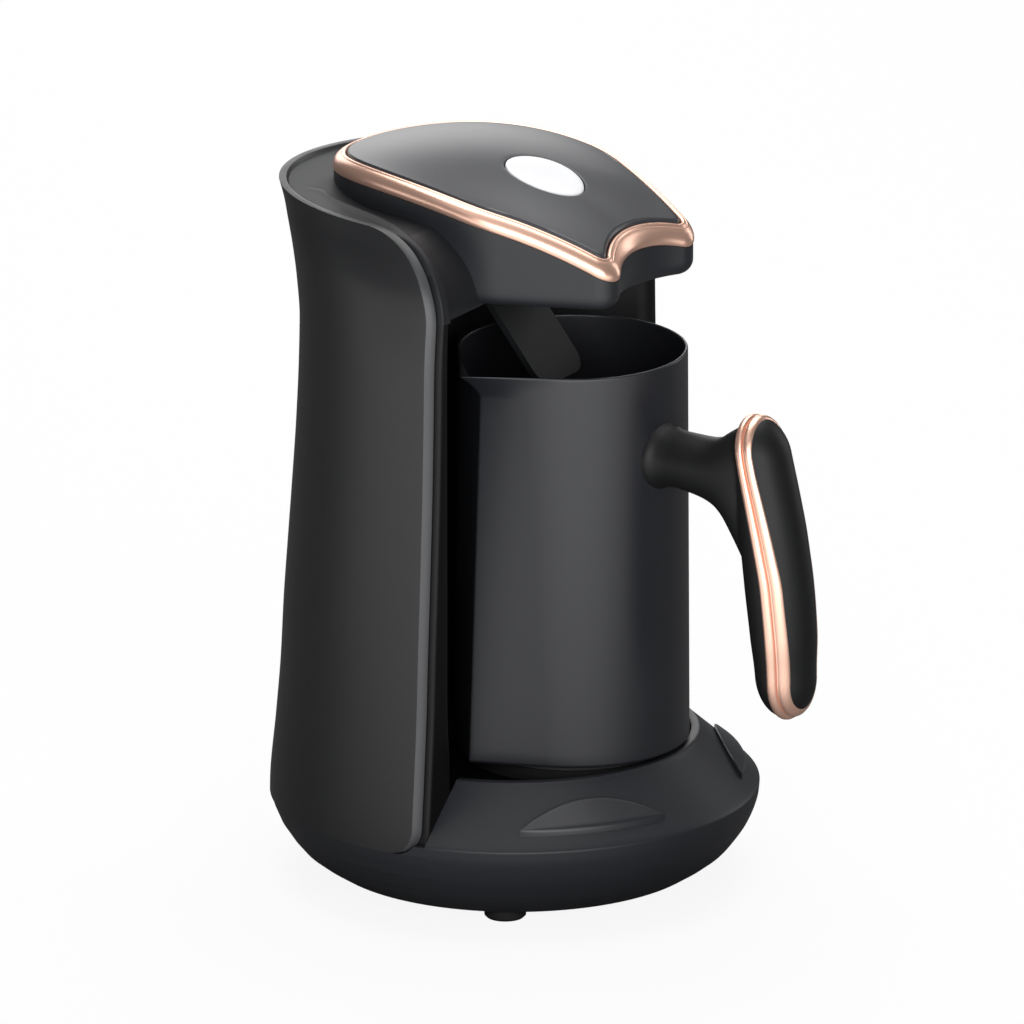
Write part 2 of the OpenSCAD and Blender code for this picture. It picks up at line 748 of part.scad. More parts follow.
module handle_insert() {
    color("#27282a") in_pot() {
        intersection() {
            grip_form(0);
            band_zone(band_w / 2, 60);
        }
        intersection() {
            grip_form(-band_t);
            band_zone(0, band_w / 2 + 1);
        }
    }
}

module handle_screw() {
    color("#8f9196") in_pot() translate([0, -pot_r - 30, neck_rise]) rotate([90, 0, 0])
        cylinder(r = 1.6, h = 20, center = true, $fn = 24);
}

base_pan();
base_front_cover();
pad_left();
pad_right();
feet();
service_plate();
base_screws();
cord_gland();
bay_floor();
hot_plate();
plate_seal();
heating_element();
thermostat();
thermal_fuse();
outer_shell();
column();
board_carrier();
power_board();
board_posts();
relay();
transformer();
capacitor();
head_housing();
lid_ring();
lid_frame();
lid_top_plate();
power_button();
button_switch();
control_board();
indicator_light();
buzzer();
probe_pin();
probe_flap();
probe_sensor();
probe_spring();
pot_body();
pot_base_disc();
handle_core();
handle_ring();
handle_insert();
handle_screw();
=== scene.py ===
import json
from math import acos, asin, atan2, cos, degrees, exp, hypot, pi, radians, sin, sqrt
import bmesh
import bpy
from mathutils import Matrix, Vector

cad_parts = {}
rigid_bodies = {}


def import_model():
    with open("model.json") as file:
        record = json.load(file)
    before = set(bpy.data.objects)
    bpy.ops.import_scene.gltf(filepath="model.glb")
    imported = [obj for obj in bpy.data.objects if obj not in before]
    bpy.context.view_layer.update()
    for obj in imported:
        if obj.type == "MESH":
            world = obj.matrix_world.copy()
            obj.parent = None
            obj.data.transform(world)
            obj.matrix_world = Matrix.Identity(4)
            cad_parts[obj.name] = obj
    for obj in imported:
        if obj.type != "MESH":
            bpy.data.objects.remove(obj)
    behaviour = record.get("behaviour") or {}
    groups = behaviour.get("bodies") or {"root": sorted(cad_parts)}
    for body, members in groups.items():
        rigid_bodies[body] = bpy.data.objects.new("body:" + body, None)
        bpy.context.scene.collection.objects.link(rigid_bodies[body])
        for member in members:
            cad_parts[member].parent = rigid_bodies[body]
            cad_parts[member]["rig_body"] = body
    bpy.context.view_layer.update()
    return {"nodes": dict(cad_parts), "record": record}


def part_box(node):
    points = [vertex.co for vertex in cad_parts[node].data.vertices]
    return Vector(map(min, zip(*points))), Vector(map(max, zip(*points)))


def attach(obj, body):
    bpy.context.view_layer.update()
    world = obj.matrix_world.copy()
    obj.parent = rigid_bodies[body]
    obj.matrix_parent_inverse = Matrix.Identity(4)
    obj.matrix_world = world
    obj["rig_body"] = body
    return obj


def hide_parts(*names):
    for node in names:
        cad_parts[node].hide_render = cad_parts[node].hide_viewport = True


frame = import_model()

MM = 0.001
WELD = 0.002


def low(node):
    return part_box(node)[0] / MM


def high(node):
    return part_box(node)[1] / MM


def middle(node):
    return (low(node) + high(node)) / 2


# ---------------------------------------------------------------- driving sizes
AXIS_Y = middle("service_plate").y
POT_Y = middle("hot_plate").y
POT_Z = low("pot_base_disc").z
CREASE_Z = 31.0
BASE_R = 82.4
DECK_TOP_R = 61.6
DECK_Z = high("base_front_cover").z
FOOT_H = high("feet").z
COLUMN_FRONT = 13.6
COLUMN_TOP = high("column").z
COLUMN_ROUND, COLUMN_FOOT_ROUND = 1.6, 0.5
SHELL_FRONT = 11.5
SHELL_WALL = 2.5
SHELL_GAP = 0.4
SKIRT_ROUND = 9.0
RIM_ROUND = 30.0
EDGE_ROUND, EDGE_BREAK = 2.4, 0.3
LIP_STEP, LIP_BULGE = 0.25, 0.4
BROW_R = 28.0
BAY_R = 76.0
BAY_BACK = 22.0
BAY_ROUND, BAY_BLEND = 8.0, 25.0
FLOOR_FRONT = 14.6
FLOOR_WALL = 2.5
ROOF_DROP = 2.2
POCKET_X, POCKET_FRONT, POCKET_BACK, POCKET_ROOF = 16.0, -41.0, 16.4, 217.0
POCKET_ROOM, POCKET_BELOW, DECK_CUT_FRONT = 4.0, 5.0, -30.0
RIM_Z = high("outer_shell").z
SKIRT_Z = low("outer_shell").z
HEAD_Z = low("head_housing").z
FLOOR_Z = high("bay_floor").z

# ---------------------------------------------------------------- camera and light
VIEW_AZIMUTH = -59.0
VIEW_ELEVATION = 17.2
VIEW_DISTANCE = 6000.0
SENSOR = 36.0
MM_PER_PIXEL = 0.335
PICTURE = 1024
AIM_Z = 124.3
AIM_SHIFT = -1.0
LIGHT_Z = 120.0


def from_base(azimuth, elevation, distance, height):
    """A point seen from the base axis, in the row's frame, in millimetres."""
    a, e = radians(azimuth), radians(elevation)
    return Vector((
        sin(a) * cos(e) * distance,
        AXIS_Y - cos(a) * cos(e) * distance,
        height + sin(e) * distance,
    ))


def look(obj, start, target):
    obj.location = start * MM
    obj.rotation_mode = "QUATERNION"
    obj.rotation_quaternion = (target - start).to_track_quat("-Z", "Y")


def make_camera():
    data = bpy.data.cameras.new("camera")
    data.sensor_width = SENSOR
    data.lens = SENSOR * VIEW_DISTANCE / (MM_PER_PIXEL * PICTURE)
    data.clip_start, data.clip_end = 0.1, 50
    camera = bpy.data.objects.new("camera", data)
    bpy.context.scene.collection.objects.link(camera)
    right = Vector((cos(radians(VIEW_AZIMUTH)), sin(radians(VIEW_AZIMUTH)), 0))
    start = from_base(VIEW_AZIMUTH, VIEW_ELEVATION, VIEW_DISTANCE, AIM_Z)
    target = Vector((0, AXIS_Y, AIM_Z))
    look(camera, start + right * AIM_SHIFT, target + right * AIM_SHIFT)
    bpy.context.scene.camera = camera


def area_light(name, azimuth, elevation, distance, width, power, height):
    data = bpy.data.lights.new(name, "AREA")
    data.shape = "RECTANGLE"
    data.size = width * MM
    data.size_y = height * MM
    data.energy = power
    light = bpy.data.objects.new(name, data)
    bpy.context.scene.collection.objects.link(light)
    look(light, from_base(azimuth, elevation, distance, LIGHT_Z), Vector((0, AXIS_Y, LIGHT_Z)))


# ---------------------------------------------------------------- finishes
class Value:
    """A number that varies over a surface; arithmetic on it adds Math nodes."""

    def __init__(self, finish, socket):
        self.finish = finish
        self.socket = socket

    def join(self, operation, first, second):
        return self.finish.add("ShaderNodeMath", {"operation": operation}, first, second)

    def __add__(self, other):
        return self.join("ADD", self, other)

    def __radd__(self, other):
        return self.join("ADD", other, self)

    def __sub__(self, other):
        return self.join("SUBTRACT", self, other)

    def __rsub__(self, other):
        return self.join("SUBTRACT", other, self)

    def __mul__(self, other):
        return self.join("MULTIPLY", self, other)

    def __rmul__(self, other):
        return self.join("MULTIPLY", other, self)


class Nodes:
    """A node tree, with one way of adding nodes to it."""

    def __init__(self, tree):
        self.tree = tree

    def add(self, kind, settings=None, *inputs, output=0, **named):
        """Inputs go in by position or by name; None leaves a socket as it is."""
        node = self.tree.nodes.new(kind)
        for key, value in (settings or {}).items():
            setattr(node, key, value)
        for key, value in [*enumerate(inputs), *named.items()]:
            if value is not None:
                self.feed(node.inputs[key.replace("_", " ") if isinstance(key, str) else key], value)
        return Value(self, node.outputs[output])

    def feed(self, socket, value):
        if isinstance(value, Value):
            self.tree.links.new(value.socket, socket)
        else:
            socket.default_value = value

    def show(self, surface, output="Material Output"):
        self.feed(self.tree.nodes[output].inputs["Surface"], surface)

    def mix(self, factor, one, two):
        """A colour between two, by a factor; the five sockets in between are for other kinds of data."""
        unused = [None] * 5
        kind = {"data_type": "RGBA"}
        return self.add("ShaderNodeMix", kind, factor, *unused, (*one, 1.0), (*two, 1.0), output=2)


class Finish(Nodes):
    """One material: a Principled surface and the nodes that vary it."""

    def __init__(self, name, colour, roughness, metallic=0.0, specular=0.5):
        self.material = bpy.data.materials.new(name)
        self.material.use_nodes = True
        super().__init__(self.material.node_tree)
        self.surface = self.tree.nodes["Principled BSDF"]
        self.put("Base Color", (*colour, 1.0))
        self.put("Roughness", roughness)
        self.put("Metallic", metallic)
        self.put("Specular IOR Level", specular)
        self.colour = colour
        self.place = self.add("ShaderNodeTexCoord", output="Object")

    def put(self, name, value):
        self.feed(self.surface.inputs[name], value)

    def noise(self, per_metre, detail=2.0, stretch=(1, 1, 1)):
        place = self.add("ShaderNodeMapping", {}, self.place, Scale=stretch)
        return self.add("ShaderNodeTexNoise", {}, place, Scale=per_metre, Detail=detail)

    def vary_colour(self, factor, amount):
        darker = tuple(c * (1 - amount) for c in self.colour)
        lighter = tuple(min(1.0, c * (1 + amount)) for c in self.colour)
        self.put("Base Color", self.mix(factor, darker, lighter))

    def bump(self, height, depth_mm):
        depth = depth_mm * MM
        self.put("Normal", self.add("ShaderNodeBump", {}, Height=height, Strength=1.0, Distance=depth))


def satin(name, colour, roughness, specular, grain):
    """Satin moulded plastic before its colour varies: spark-eroded grain and slightly uneven gloss."""
    f = Finish(name, colour, roughness, specular=specular)
    broad = f.noise(18, 3)
    f.put("Roughness", roughness - 0.03 + 0.06 * broad)
    f.bump(f.noise(2600, 1), grain)
    return f, broad


def moulded(name, colour, roughness, grain=0.006, specular=0.5):
    """Satin plastic with a faintly uneven colour."""
    f, broad = satin(name, colour, roughness, specular, grain)
    f.vary_colour(broad, 0.12)
    return f.material


def lip_with_painted_highlight(name, colour, roughness, lip):
    """Satin plastic like the rest, with a painted highlight: its front-facing lip is painted in a lighter
    colour.
    """
    f, _ = satin(name, colour, roughness, 0.5, 0.006)
    # Normals that face the front (-Y) mix the colour towards the lighter one: a painted highlight along the
    # lip.
    normal = f.add("ShaderNodeNewGeometry", output="Normal")
    across = f.add("ShaderNodeSeparateXYZ", {}, normal, output="Y")
    painted_highlight_mask = f.add(
        "ShaderNodeMapRange", {"interpolation_type": "SMOOTHSTEP"}, -1.0 * across, From_Min=0.2, From_Max=0.5)
    f.put("Base Color", f.mix(painted_highlight_mask, colour, lip))
    return f.material


def plated(name, colour, roughness):
    """Satin rose gold plating with a faint drawn texture."""
    f = Finish(name, colour, roughness, metallic=0.78)
    broad = f.noise(30, 2)
    fine = f.noise(1800, 2)
    f.vary_colour(broad, 0.04)
    f.put("Roughness", roughness - 0.02 + 0.04 * fine)
    f.bump(fine, 0.0006)
    return f.material


def coated(name, colour, roughness):
    """Satin non-stick coat on metal, with the faintest orange peel."""
    f = Finish(name, colour, roughness)
    broad = f.noise(14, 3)
    peel = f.noise(700, 2)
    f.vary_colour(broad, 0.10)
    f.put("Roughness", roughness - 0.03 + 0.06 * broad)
    f.bump(peel, 0.004)
    return f.material


def turned(name, colour, roughness):
    """Turned or drawn bare metal with fine lines round the upright axis."""
    f = Finish(name, colour, roughness, metallic=1.0)
    lines = f.noise(500, 3, stretch=(1, 1, 0.1))
    f.vary_colour(lines, 0.12)
    f.put("Roughness", roughness - 0.06 + 0.12 * lines)
    f.bump(lines, 0.002)
    return f.material


def rubbery(name, colour):
    f = Finish(name, colour, 0.8, specular=0.3)
    dust = f.noise(120, 4)
    f.vary_colour(dust, 0.25)
    f.put("Roughness", 0.72 + 0.16 * dust)
    f.bump(dust, 0.02)
    return f.material


def laminate(name, colour):
    """Circuit board: lacquer over faint copper tracks."""
    f = Finish(name, colour, 0.3)
    tracks = f.add("ShaderNodeTexVoronoi", {"feature": "DISTANCE_TO_EDGE"}, f.place, Scale=260.0)
    f.vary_colour(tracks * 4.0, 0.35)
    f.bump(tracks, 0.02)
    return f.material


FINISH = {
    "base_black": moulded("base_black", (0.0155, 0.0165, 0.0200), 0.45, specular=0.38),
    # The shell's lighter colour on its front lip is a painted highlight.
    "shell_black": lip_with_painted_highlight("shell_black", (0.0108, 0.0111, 0.0122), 0.42, (0.046, 0.047, 0.050)),
    "head_black": moulded("head_black", (0.0155, 0.0165, 0.0195), 0.42, specular=0.4),
    "roof_black": moulded("roof_black", (0.0115, 0.0121, 0.0140), 0.5, specular=0.28),
    # Several times darker than the other blacks: black plastic plus painted shade of the deep bay behind the
    # pot.
    "bay_black": moulded("bay_black", (0.0020, 0.0020, 0.0022), 0.5, specular=0.25),
    "pad_black": moulded("pad_black", (0.0170, 0.0180, 0.0215), 0.38),
    "inner_plastic": moulded("inner_plastic", (0.012, 0.012, 0.013), 0.5),
    "foot_rubber": rubbery("foot_rubber", (0.008, 0.008, 0.008)),
    "gland_rubber": rubbery("gland_rubber", (0.009, 0.009, 0.01)),
    "seal_rubber": rubbery("seal_rubber", (0.005, 0.005, 0.005)),
    "screw_steel": turned("screw_steel", (0.55, 0.56, 0.58), 0.3),
    "plate_metal": coated("plate_metal", (0.03, 0.03, 0.032), 0.45),
    "element_steel": turned("element_steel", (0.4, 0.4, 0.41), 0.4),
    "ceramic_white": moulded("ceramic_white", (0.72, 0.7, 0.64), 0.25),
    "board_green": laminate("board_green", (0.03, 0.14, 0.05)),
    "relay_blue": moulded("relay_blue", (0.03, 0.11, 0.35), 0.3),
    "winding_yellow": moulded("winding_yellow", (0.6, 0.42, 0.06), 0.45, grain=0.05),
    "rose_gold": plated("rose_gold", (0.90, 0.56, 0.43), 0.30),
    "lid_grey": moulded("lid_grey", (0.036, 0.037, 0.042), 0.34, grain=0.003),
    "button_silver": moulded("button_silver", (0.80, 0.80, 0.82), 0.35, grain=0.003),
    "light_white": moulded("light_white", (0.8, 0.82, 0.85), 0.3),
    "probe_grey": moulded("probe_grey", (0.0065, 0.0070, 0.0080), 0.5, specular=0.3),
    "pot_coating": coated("pot_coating", (0.0128, 0.0135, 0.0168), 0.38),
    "disc_steel": turned("disc_steel", (0.5, 0.5, 0.51), 0.32),
    "handle_black": moulded("handle_black", (0.0052, 0.0054, 0.0060), 0.5, specular=0.3),
}
SLOT_OF = {s["node"]: s["material_slot"] for s in frame["record"]["subparts"]}


def dress(obj, slot):
    obj.data.materials.clear()
    obj.data.materials.append(FINISH[slot])


# ---------------------------------------------------------------- mesh building
def new_piece(name, points, faces, sharp=35.0):
    mesh = bpy.data.meshes.new(name)
    mesh.from_pydata([tuple(c * MM for c in p) for p in points], [], faces)
    mesh.validate()
    obj = bpy.data.objects.new(name, mesh)
    bpy.context.scene.collection.objects.link(obj)
    recalculate(obj)
    smooth(obj, sharp)
    return obj


def recalculate(obj):
    """Joins points that coincide, and turns all faces outward."""
    bm = bmesh.new()
    bm.from_mesh(obj.data)
    bmesh.ops.remove_doubles(bm, verts=bm.verts, dist=WELD * MM)
    bmesh.ops.recalc_face_normals(bm, faces=bm.faces)
    bm.to_mesh(obj.data)
    bm.free()


def smooth(obj, sharp):
    obj.data.shade_smooth()
    obj.data.set_sharp_from_angle(angle=radians(sharp))


def finish_piece(obj, node):
    """The piece stands for a CAD node, rides on its body and takes its finish."""
    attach(obj, frame["nodes"][node]["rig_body"])
    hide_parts(node)
    dress(obj, SLOT_OF[node])
    return obj


def apply_modifier(obj, kind, **settings):
    modifier = obj.modifiers.new(kind.lower(), kind)
    for key, value in settings.items():
        setattr(modifier, key, value)
    graph = bpy.context.evaluated_depsgraph_get()
    mesh = bpy.data.meshes.new_from_object(obj.evaluated_get(graph))
    obj.modifiers.clear()
    obj.data = mesh


def soften(obj, width_mm, sharp):
    apply_modifier(
        obj, "BEVEL", width=width_mm * MM, segments=3, limit_method="ANGLE",
        angle_limit=radians(sharp), harden_normals=False, use_clamp_overlap=True,
    )


def rows_to_skin(rows, closed=True, cap_first=False, cap_last=False):
    """Points and faces of a skin over rows of equally many points."""
    n = len(rows[0])
    points = [p for row in rows for p in row]
    span = n if closed else n - 1
    faces = [
        (j * n + i, j * n + (i + 1) % n, (j + 1) * n + (i + 1) % n, (j + 1) * n + i)
        for j in range(len(rows) - 1) for i in range(span)
    ]
    if cap_first:
        faces.append(tuple(range(n - 1, -1, -1)))
    if cap_last:
        faces.append(tuple((len(rows) - 1) * n + i for i in range(n)))
    return points, faces


def ring_skin(rows):
    """A closed skin over rows, the last of which meets the first again."""
    return rows_to_skin(rows + rows[:1])


def spread(start, end, count):
    return [start + (end - start) * i / (count - 1) for i in range(count)]


def smooth_step(share):
    share = max(0.0, min(1.0, share))
    return share * share * (3 - 2 * share)


def mirrored(points):
    return [Vector((-p.x, p.y, p.z)) for p in reversed(points)]


def bow(start, middle_point, end, count):
    """A quadratic curve that leaves and arrives along the lines to its middle point."""
    return [start * (1 - t) ** 2 + middle_point * 2 * t * (1 - t) + end * t * t for t in spread(0, 1, count)]


def curve_through(knots, x):
    """A smooth, never overshooting curve through (x, y) knots."""
    if x <= knots[0][0]:
        return knots[0][1]
    if x >= knots[-1][0]:
        return knots[-1][1]
    slopes = [(b[1] - a[1]) / (b[0] - a[0]) for a, b in zip(knots, knots[1:])]

    def tangent(i):
        if i == 0 or i == len(knots) - 1:
            return slopes[0 if i == 0 else -1]
        a, b = slopes[i - 1], slopes[i]
        return 0.0 if a * b <= 0 else 2 * a * b / (a + b)

    for i, (a, b) in enumerate(zip(knots, knots[1:])):
        if x <= b[0]:
            h = b[0] - a[0]
            t = (x - a[0]) / h
            return (
                (1 + 2 * t) * (1 - t) ** 2 * a[1] + t * (1 - t) ** 2 * h * tangent(i)
                + t * t * (3 - 2 * t) * b[1] + t * t * (t - 1) * h * tangent(i + 1)
            )


def from_axis(points):
    return [(p[0], AXIS_Y + p[1], p[2]) for p in points]


def cut_box(obj, corner, opposite):
    xs, ys, zs = zip(corner, opposite)
    points = from_axis([(x, y, z) for z in zs for y in ys for x in xs])
    faces = [(0, 1, 3, 2), (4, 6, 7, 5), (0, 4, 5, 1), (2, 3, 7, 6), (0, 2, 6, 4), (1, 5, 7, 3)]
    cutter = new_piece("cutter", points, faces)
    apply_modifier(obj, "BOOLEAN", object=cutter, operation="DIFFERENCE", solver="EXACT")
    bpy.data.objects.remove(cutter)
    smooth(obj, 40)


# ---------------------------------------------------------------- the tower's oval outline
# (height above the widest line, half width, half depth)
TOWER = [
    (-3.5, 82.5, 82.5), (1, 82.4, 82.4), (22, 80.8, 80.3), (43, 79.2, 78.5), (64, 78.2, 77.4),
    (85, 77, 75.8), (106, 75.9, 74.1), (127, 75, 72.5), (148, 74.4, 71.4), (163, 74, 71.1),
    (176, 72.8, 72.8), (187, 71.2, 75.4), (195, 68.6, 78.4), (201, 66, 80.9), (206, 64, 83.6),
]


def tower_half_width(z):
    return curve_through([(h, a) for h, a, _ in TOWER], z - CREASE_Z)


def tower_half_depth(z):
    return curve_through([(h, b) for h, _, b in TOWER], z - CREASE_Z)


def front_edge(z, front, z0, z1, low_r, high_r):
    """Position behind the base axis of a front edge at a height, with its round corners."""
    if z > z1 - high_r:
        d = min(high_r, z - (z1 - high_r))
        return -front + high_r - sqrt(high_r ** 2 - d * d)
    if z < z0 + low_r:
        d = min(low_r, z0 + low_r - z)
        return -front + low_r - sqrt(low_r ** 2 - d * d)
    return -front


def corner_levels(z0, z1, low_r, high_r, between):
    lows = [z0 + low_r * (1 - cos(a)) for a in spread(0, pi / 2, 14)]
    highs = [z1 - high_r * (1 - sin(a)) for a in spread(0, pi / 2, 26)]
    return lows + spread(z0 + low_r, z1 - high_r, between)[1:-1] + highs


def flank(z, inset, edge, count):
    """Points of the oval outline from the right front edge round the back to the left."""
    a, b = tower_half_width(z) - inset, tower_half_depth(z) - inset
    start = asin(max(-1.0, min(1.0, edge / b)))
    return [Vector((a * cos(t), b * sin(t), z)) for t in spread(start, pi - start, count)]


def fillet(before, corner, after, radius, count=7):
    """The points of a round corner between two legs of a flat outline."""
    u, v = (before - corner).normalized(), (after - corner).normalized()
    half = u.angle(v) / 2
    reach = min(radius / max(0.05, sin(half) / cos(half)), (before - corner).length, (after - corner).length)
    return bow(corner + u * reach, corner, corner + v * reach, count)


def build_outer_shell():
    """The shell's wall: a crisp line all along its front, then a broad lip falling to the inner side."""
    levels = corner_levels(SKIRT_Z, RIM_Z, SKIRT_ROUND, RIM_ROUND, 46)

    def row(z):
        edge = front_edge(z, SHELL_FRONT, SKIRT_Z, RIM_Z, SKIRT_ROUND, RIM_ROUND)
        outer = flank(z, 0, edge + EDGE_ROUND, 120)
        inner = flank(z, SHELL_WALL, edge + LIP_BULGE, 120)[::-1]
        start, end = Vector((inner[-1].x + LIP_STEP, edge, z)), outer[0]
        bulge = (start + end) / 2 + Vector((LIP_BULGE, -LIP_BULGE, 0))
        right = bow(start, bulge, end, 9)[:-1]
        return from_axis(outer + mirrored(right) + inner + right)

    points, faces = rows_to_skin([row(z) for z in levels], cap_first=True, cap_last=True)
    obj = new_piece("tower_shell", points, faces, sharp=32)
    soften(obj, EDGE_BREAK, sharp=17)
    smooth(obj, 32)
    return finish_piece(obj, "outer_shell")


# (distance behind the base axis, half width) of the ridge that runs over the roof beside the head
RIDGE = [(-14.6, 65.0), (3.9, 60.0), (22.7, 50.0), (46.0, 39.0), (56.0, 32.0)]
RIDGE_RISE, RIDGE_SPREAD, RIDGE_SHIFT = 0.55, 1.5, 0.5
CHANNEL_DEPTH, CHANNEL_SLOPE = 1.5, 2.0
RIDGE_OUTSIDE, RIDGE_INSIDE, RIDGE_MARGIN, RIDGE_LEAST = 1.6, 2.6, 1.7, 4.0
RIDGE_END, RIDGE_FADE = 62.0, 24.0
ROOF_HEM, ROOF_OVERLAP = 4.0, 0.3
ROOF_EDGE, ROOF_EDGE_FALL = 0.8, 0.7


def roof_rise(x, y, side, ridge):
    """How far the roof stands above its plain form: a ridge, the channel inside it, a turned-down edge."""
    fade = max(0.0, min(1.0, (RIDGE_END - y) / RIDGE_FADE))
    bead = RIDGE_RISE * exp(-((x - ridge - RIDGE_SHIFT) / RIDGE_SPREAD) ** 2)
    channel = CHANNEL_DEPTH * smooth_step((ridge - x) / CHANNEL_SLOPE)
    past_edge = max(0.0, x - side + ROOF_EDGE)
    return fade * (bead - channel) - ROOF_EDGE_FALL * past_edge * past_edge


def build_roof(gap):
    """The tower's roof, an open sheet: a rounded front brow and a flat deck, with a ridge and a channel."""
    turn = -COLUMN_FRONT + BROW_R
    start = asin((HEAD_Z - COLUMN_TOP + BROW_R) / BROW_R)
    brow = [
        (turn - BROW_R * cos(a), COLUMN_TOP - BROW_R * (1 - sin(a)), -cos(a), sin(a))
        for a in spread(start, pi / 2, 44)]
    inset = gap - ROOF_OVERLAP
    back = tower_half_depth(COLUMN_TOP) - inset
    level = [(turn + (back - turn) * sin(a), COLUMN_TOP, 0.0, 1.0) for a in spread(0.05, pi / 2 - 0.02, 50)]
    rows = []
    for y, z, ny, nz in brow + level:
        a, b = tower_half_width(z) - inset, tower_half_depth(z) - inset
        side = a * sqrt(max(0.0, 1 - (y / b) ** 2))
        ridge = min(curve_through(RIDGE, y), side - RIDGE_MARGIN)
        if ridge > RIDGE_LEAST:
            outside, inside = ridge + RIDGE_OUTSIDE, ridge - RIDGE_INSIDE
            xs = spread(side, outside, 8)[:-1] + spread(outside, inside, 16) + spread(inside, 0, 12)[1:]
        else:
            xs = spread(side, 0, 34)
        half = [(side, y - ny * ROOF_HEM, z - nz * ROOF_HEM)]
        for x in xs:
            rise = roof_rise(x, y, side, ridge)
            half.append((x, y + ny * rise, z + nz * rise))
        rows.append(from_axis(half + [(-x, v, w) for x, v, w in reversed(half[:-1])]))
    rows.insert(0, [(x, v + ROOF_HEM, w) for x, v, w in rows[0]])
    obj = new_piece("tower_roof", *rows_to_skin(rows, closed=False), sharp=40)
    clear_pocket(obj)
    return obj


def clear_pocket(obj):
    """Opens the sheet where the head hides it, so that the probe can swing up into its pocket."""
    bm = bmesh.new()
    bm.from_mesh(obj.data)
    hidden = []
    for face in bm.faces:
        place = face.calc_center_median() / MM
        if abs(place.x) < POCKET_X + POCKET_ROOM and place.z < POCKET_ROOF + POCKET_ROOM:
            hidden.append(face)
    bmesh.ops.delete(bm, geom=hidden, context="FACES")
    bm.to_mesh(obj.data)
    bm.free()


def build_column():
    """The dark column inside the shell: flanks with rounded front edges, the bay's wall, the deck on top."""
    gap = SHELL_WALL + SHELL_GAP
    centre = BAY_BACK - BAY_R

    def edge_at(z):
        return front_edge(z, COLUMN_FRONT, CREASE_Z, COLUMN_TOP, COLUMN_FOOT_ROUND, BROW_R)

    def flank_corner(z, edge):
        return Vector((flank(z, gap, edge, 3)[0].x, edge, z))

    def bay_row(z):
        edge = edge_at(z)
        outer = flank(z, gap, edge + COLUMN_ROUND, 110)
        start = asin((edge + (1.5 if z < POT_Z else 5.0) - centre) / BAY_R)
        inner = [Vector((BAY_R * cos(t), centre + BAY_R * sin(t), z)) for t in spread(pi - start, start, 90)]
        corner = flank_corner(z, edge)
        bay_corner = Vector((sqrt(BAY_R ** 2 - (edge - centre) ** 2), edge, z))
        bay_round = COLUMN_ROUND + (BAY_ROUND - COLUMN_ROUND) * smooth_step((z - POT_Z) / BAY_BLEND)
        right = fillet(inner[-1], bay_corner, bay_corner.lerp(corner, 0.75), bay_round, 14)
        right += fillet(right[-1], corner, outer[0], COLUMN_ROUND)
        return from_axis(outer + mirrored(right) + inner + right)

    def deck_row(z):
        edge = edge_at(z) + ROOF_DROP
        corner = flank_corner(z, edge)
        corner.x -= ROOF_DROP
        outer = flank(z, gap + ROOF_DROP, edge + COLUMN_ROUND, 110)
        right = fillet(Vector((0, edge, z)), corner, outer[0], COLUMN_ROUND)
        left = mirrored(right)
        across = [left[-1].lerp(right[0], s) for s in spread(0, 1, 30)[1:-1]]
        return from_axis(outer + left + across + right)

    reach = BAY_R + 1.0
    first = asin((-FLOOR_FRONT - centre) / reach)
    edge_of_floor = [(reach * cos(t), centre + reach * sin(t)) for t in spread(first, pi - first, 60)]
    ground = [from_axis([(x, y, z) for x, y in edge_of_floor]) for z in (FLOOR_Z - FLOOR_WALL, FLOOR_Z)]
    floor = new_piece("tower_floor", *rows_to_skin(ground, cap_first=True, cap_last=True), sharp=40)
    walls = [bay_row(z) for z in spread(CREASE_Z, HEAD_Z, 60)]
    wall = new_piece("tower_column", *rows_to_skin(walls, cap_first=True, cap_last=True), sharp=40)
    start = asin((HEAD_Z - COLUMN_TOP + BROW_R) / BROW_R)
    low_roof = [COLUMN_TOP - BROW_R * (1 - sin(a)) - ROOF_DROP for a in spread(start + 0.12, 1.45, 30)]
    tops = [deck_row(max(HEAD_Z, z)) for z in low_roof]
    deck = new_piece("tower_deck", *rows_to_skin(tops, cap_first=True, cap_last=True), sharp=40)
    cut_box(deck, (-POCKET_X, DECK_CUT_FRONT, HEAD_Z - POCKET_BELOW), (POCKET_X, POCKET_BACK, POCKET_ROOF))
    roof = build_roof(gap)
    # The floor and the bay's wall keep the column's very dark colour, which holds painted shade of the bay.
    for piece in (floor, wall, deck, roof):
        finish_piece(piece, "column")
    for piece in (deck, roof):
        dress(piece, "roof_black")


# ---------------------------------------------------------------- the base
# (radius, height) of the bowl's outer side, from the flat bottom to the widest line
BOWL = [
    (BASE_R - 18.7, FOOT_H), (BASE_R - 13.7, FOOT_H + 3.2), (BASE_R - 9.8, FOOT_H + 6.2),
    (BASE_R - 6.7, FOOT_H + 9.9), (BASE_R - 3.2, CREASE_Z - 11.5), (BASE_R - 1.1, CREASE_Z - 6.5),
    (BASE_R - 0.3, CREASE_Z - 3.4), (BASE_R, CREASE_Z),
]
PAN_SPLIT = FOOT_H + 6.2
DECK_WALL = 2.5


def deck_z(r):
    return DECK_Z - 0.4 - (r - DECK_TOP_R - 0.6) * (DECK_Z - CREASE_Z - 1) / (BASE_R - DECK_TOP_R - 1)


def bowl_side(start, end, count):
    """The bowl's outer side between two heights, as a smooth curve."""
    side = [(z, r) for r, z in BOWL]
    return [(curve_through(side, z), z) for z in spread(start, end, count)]


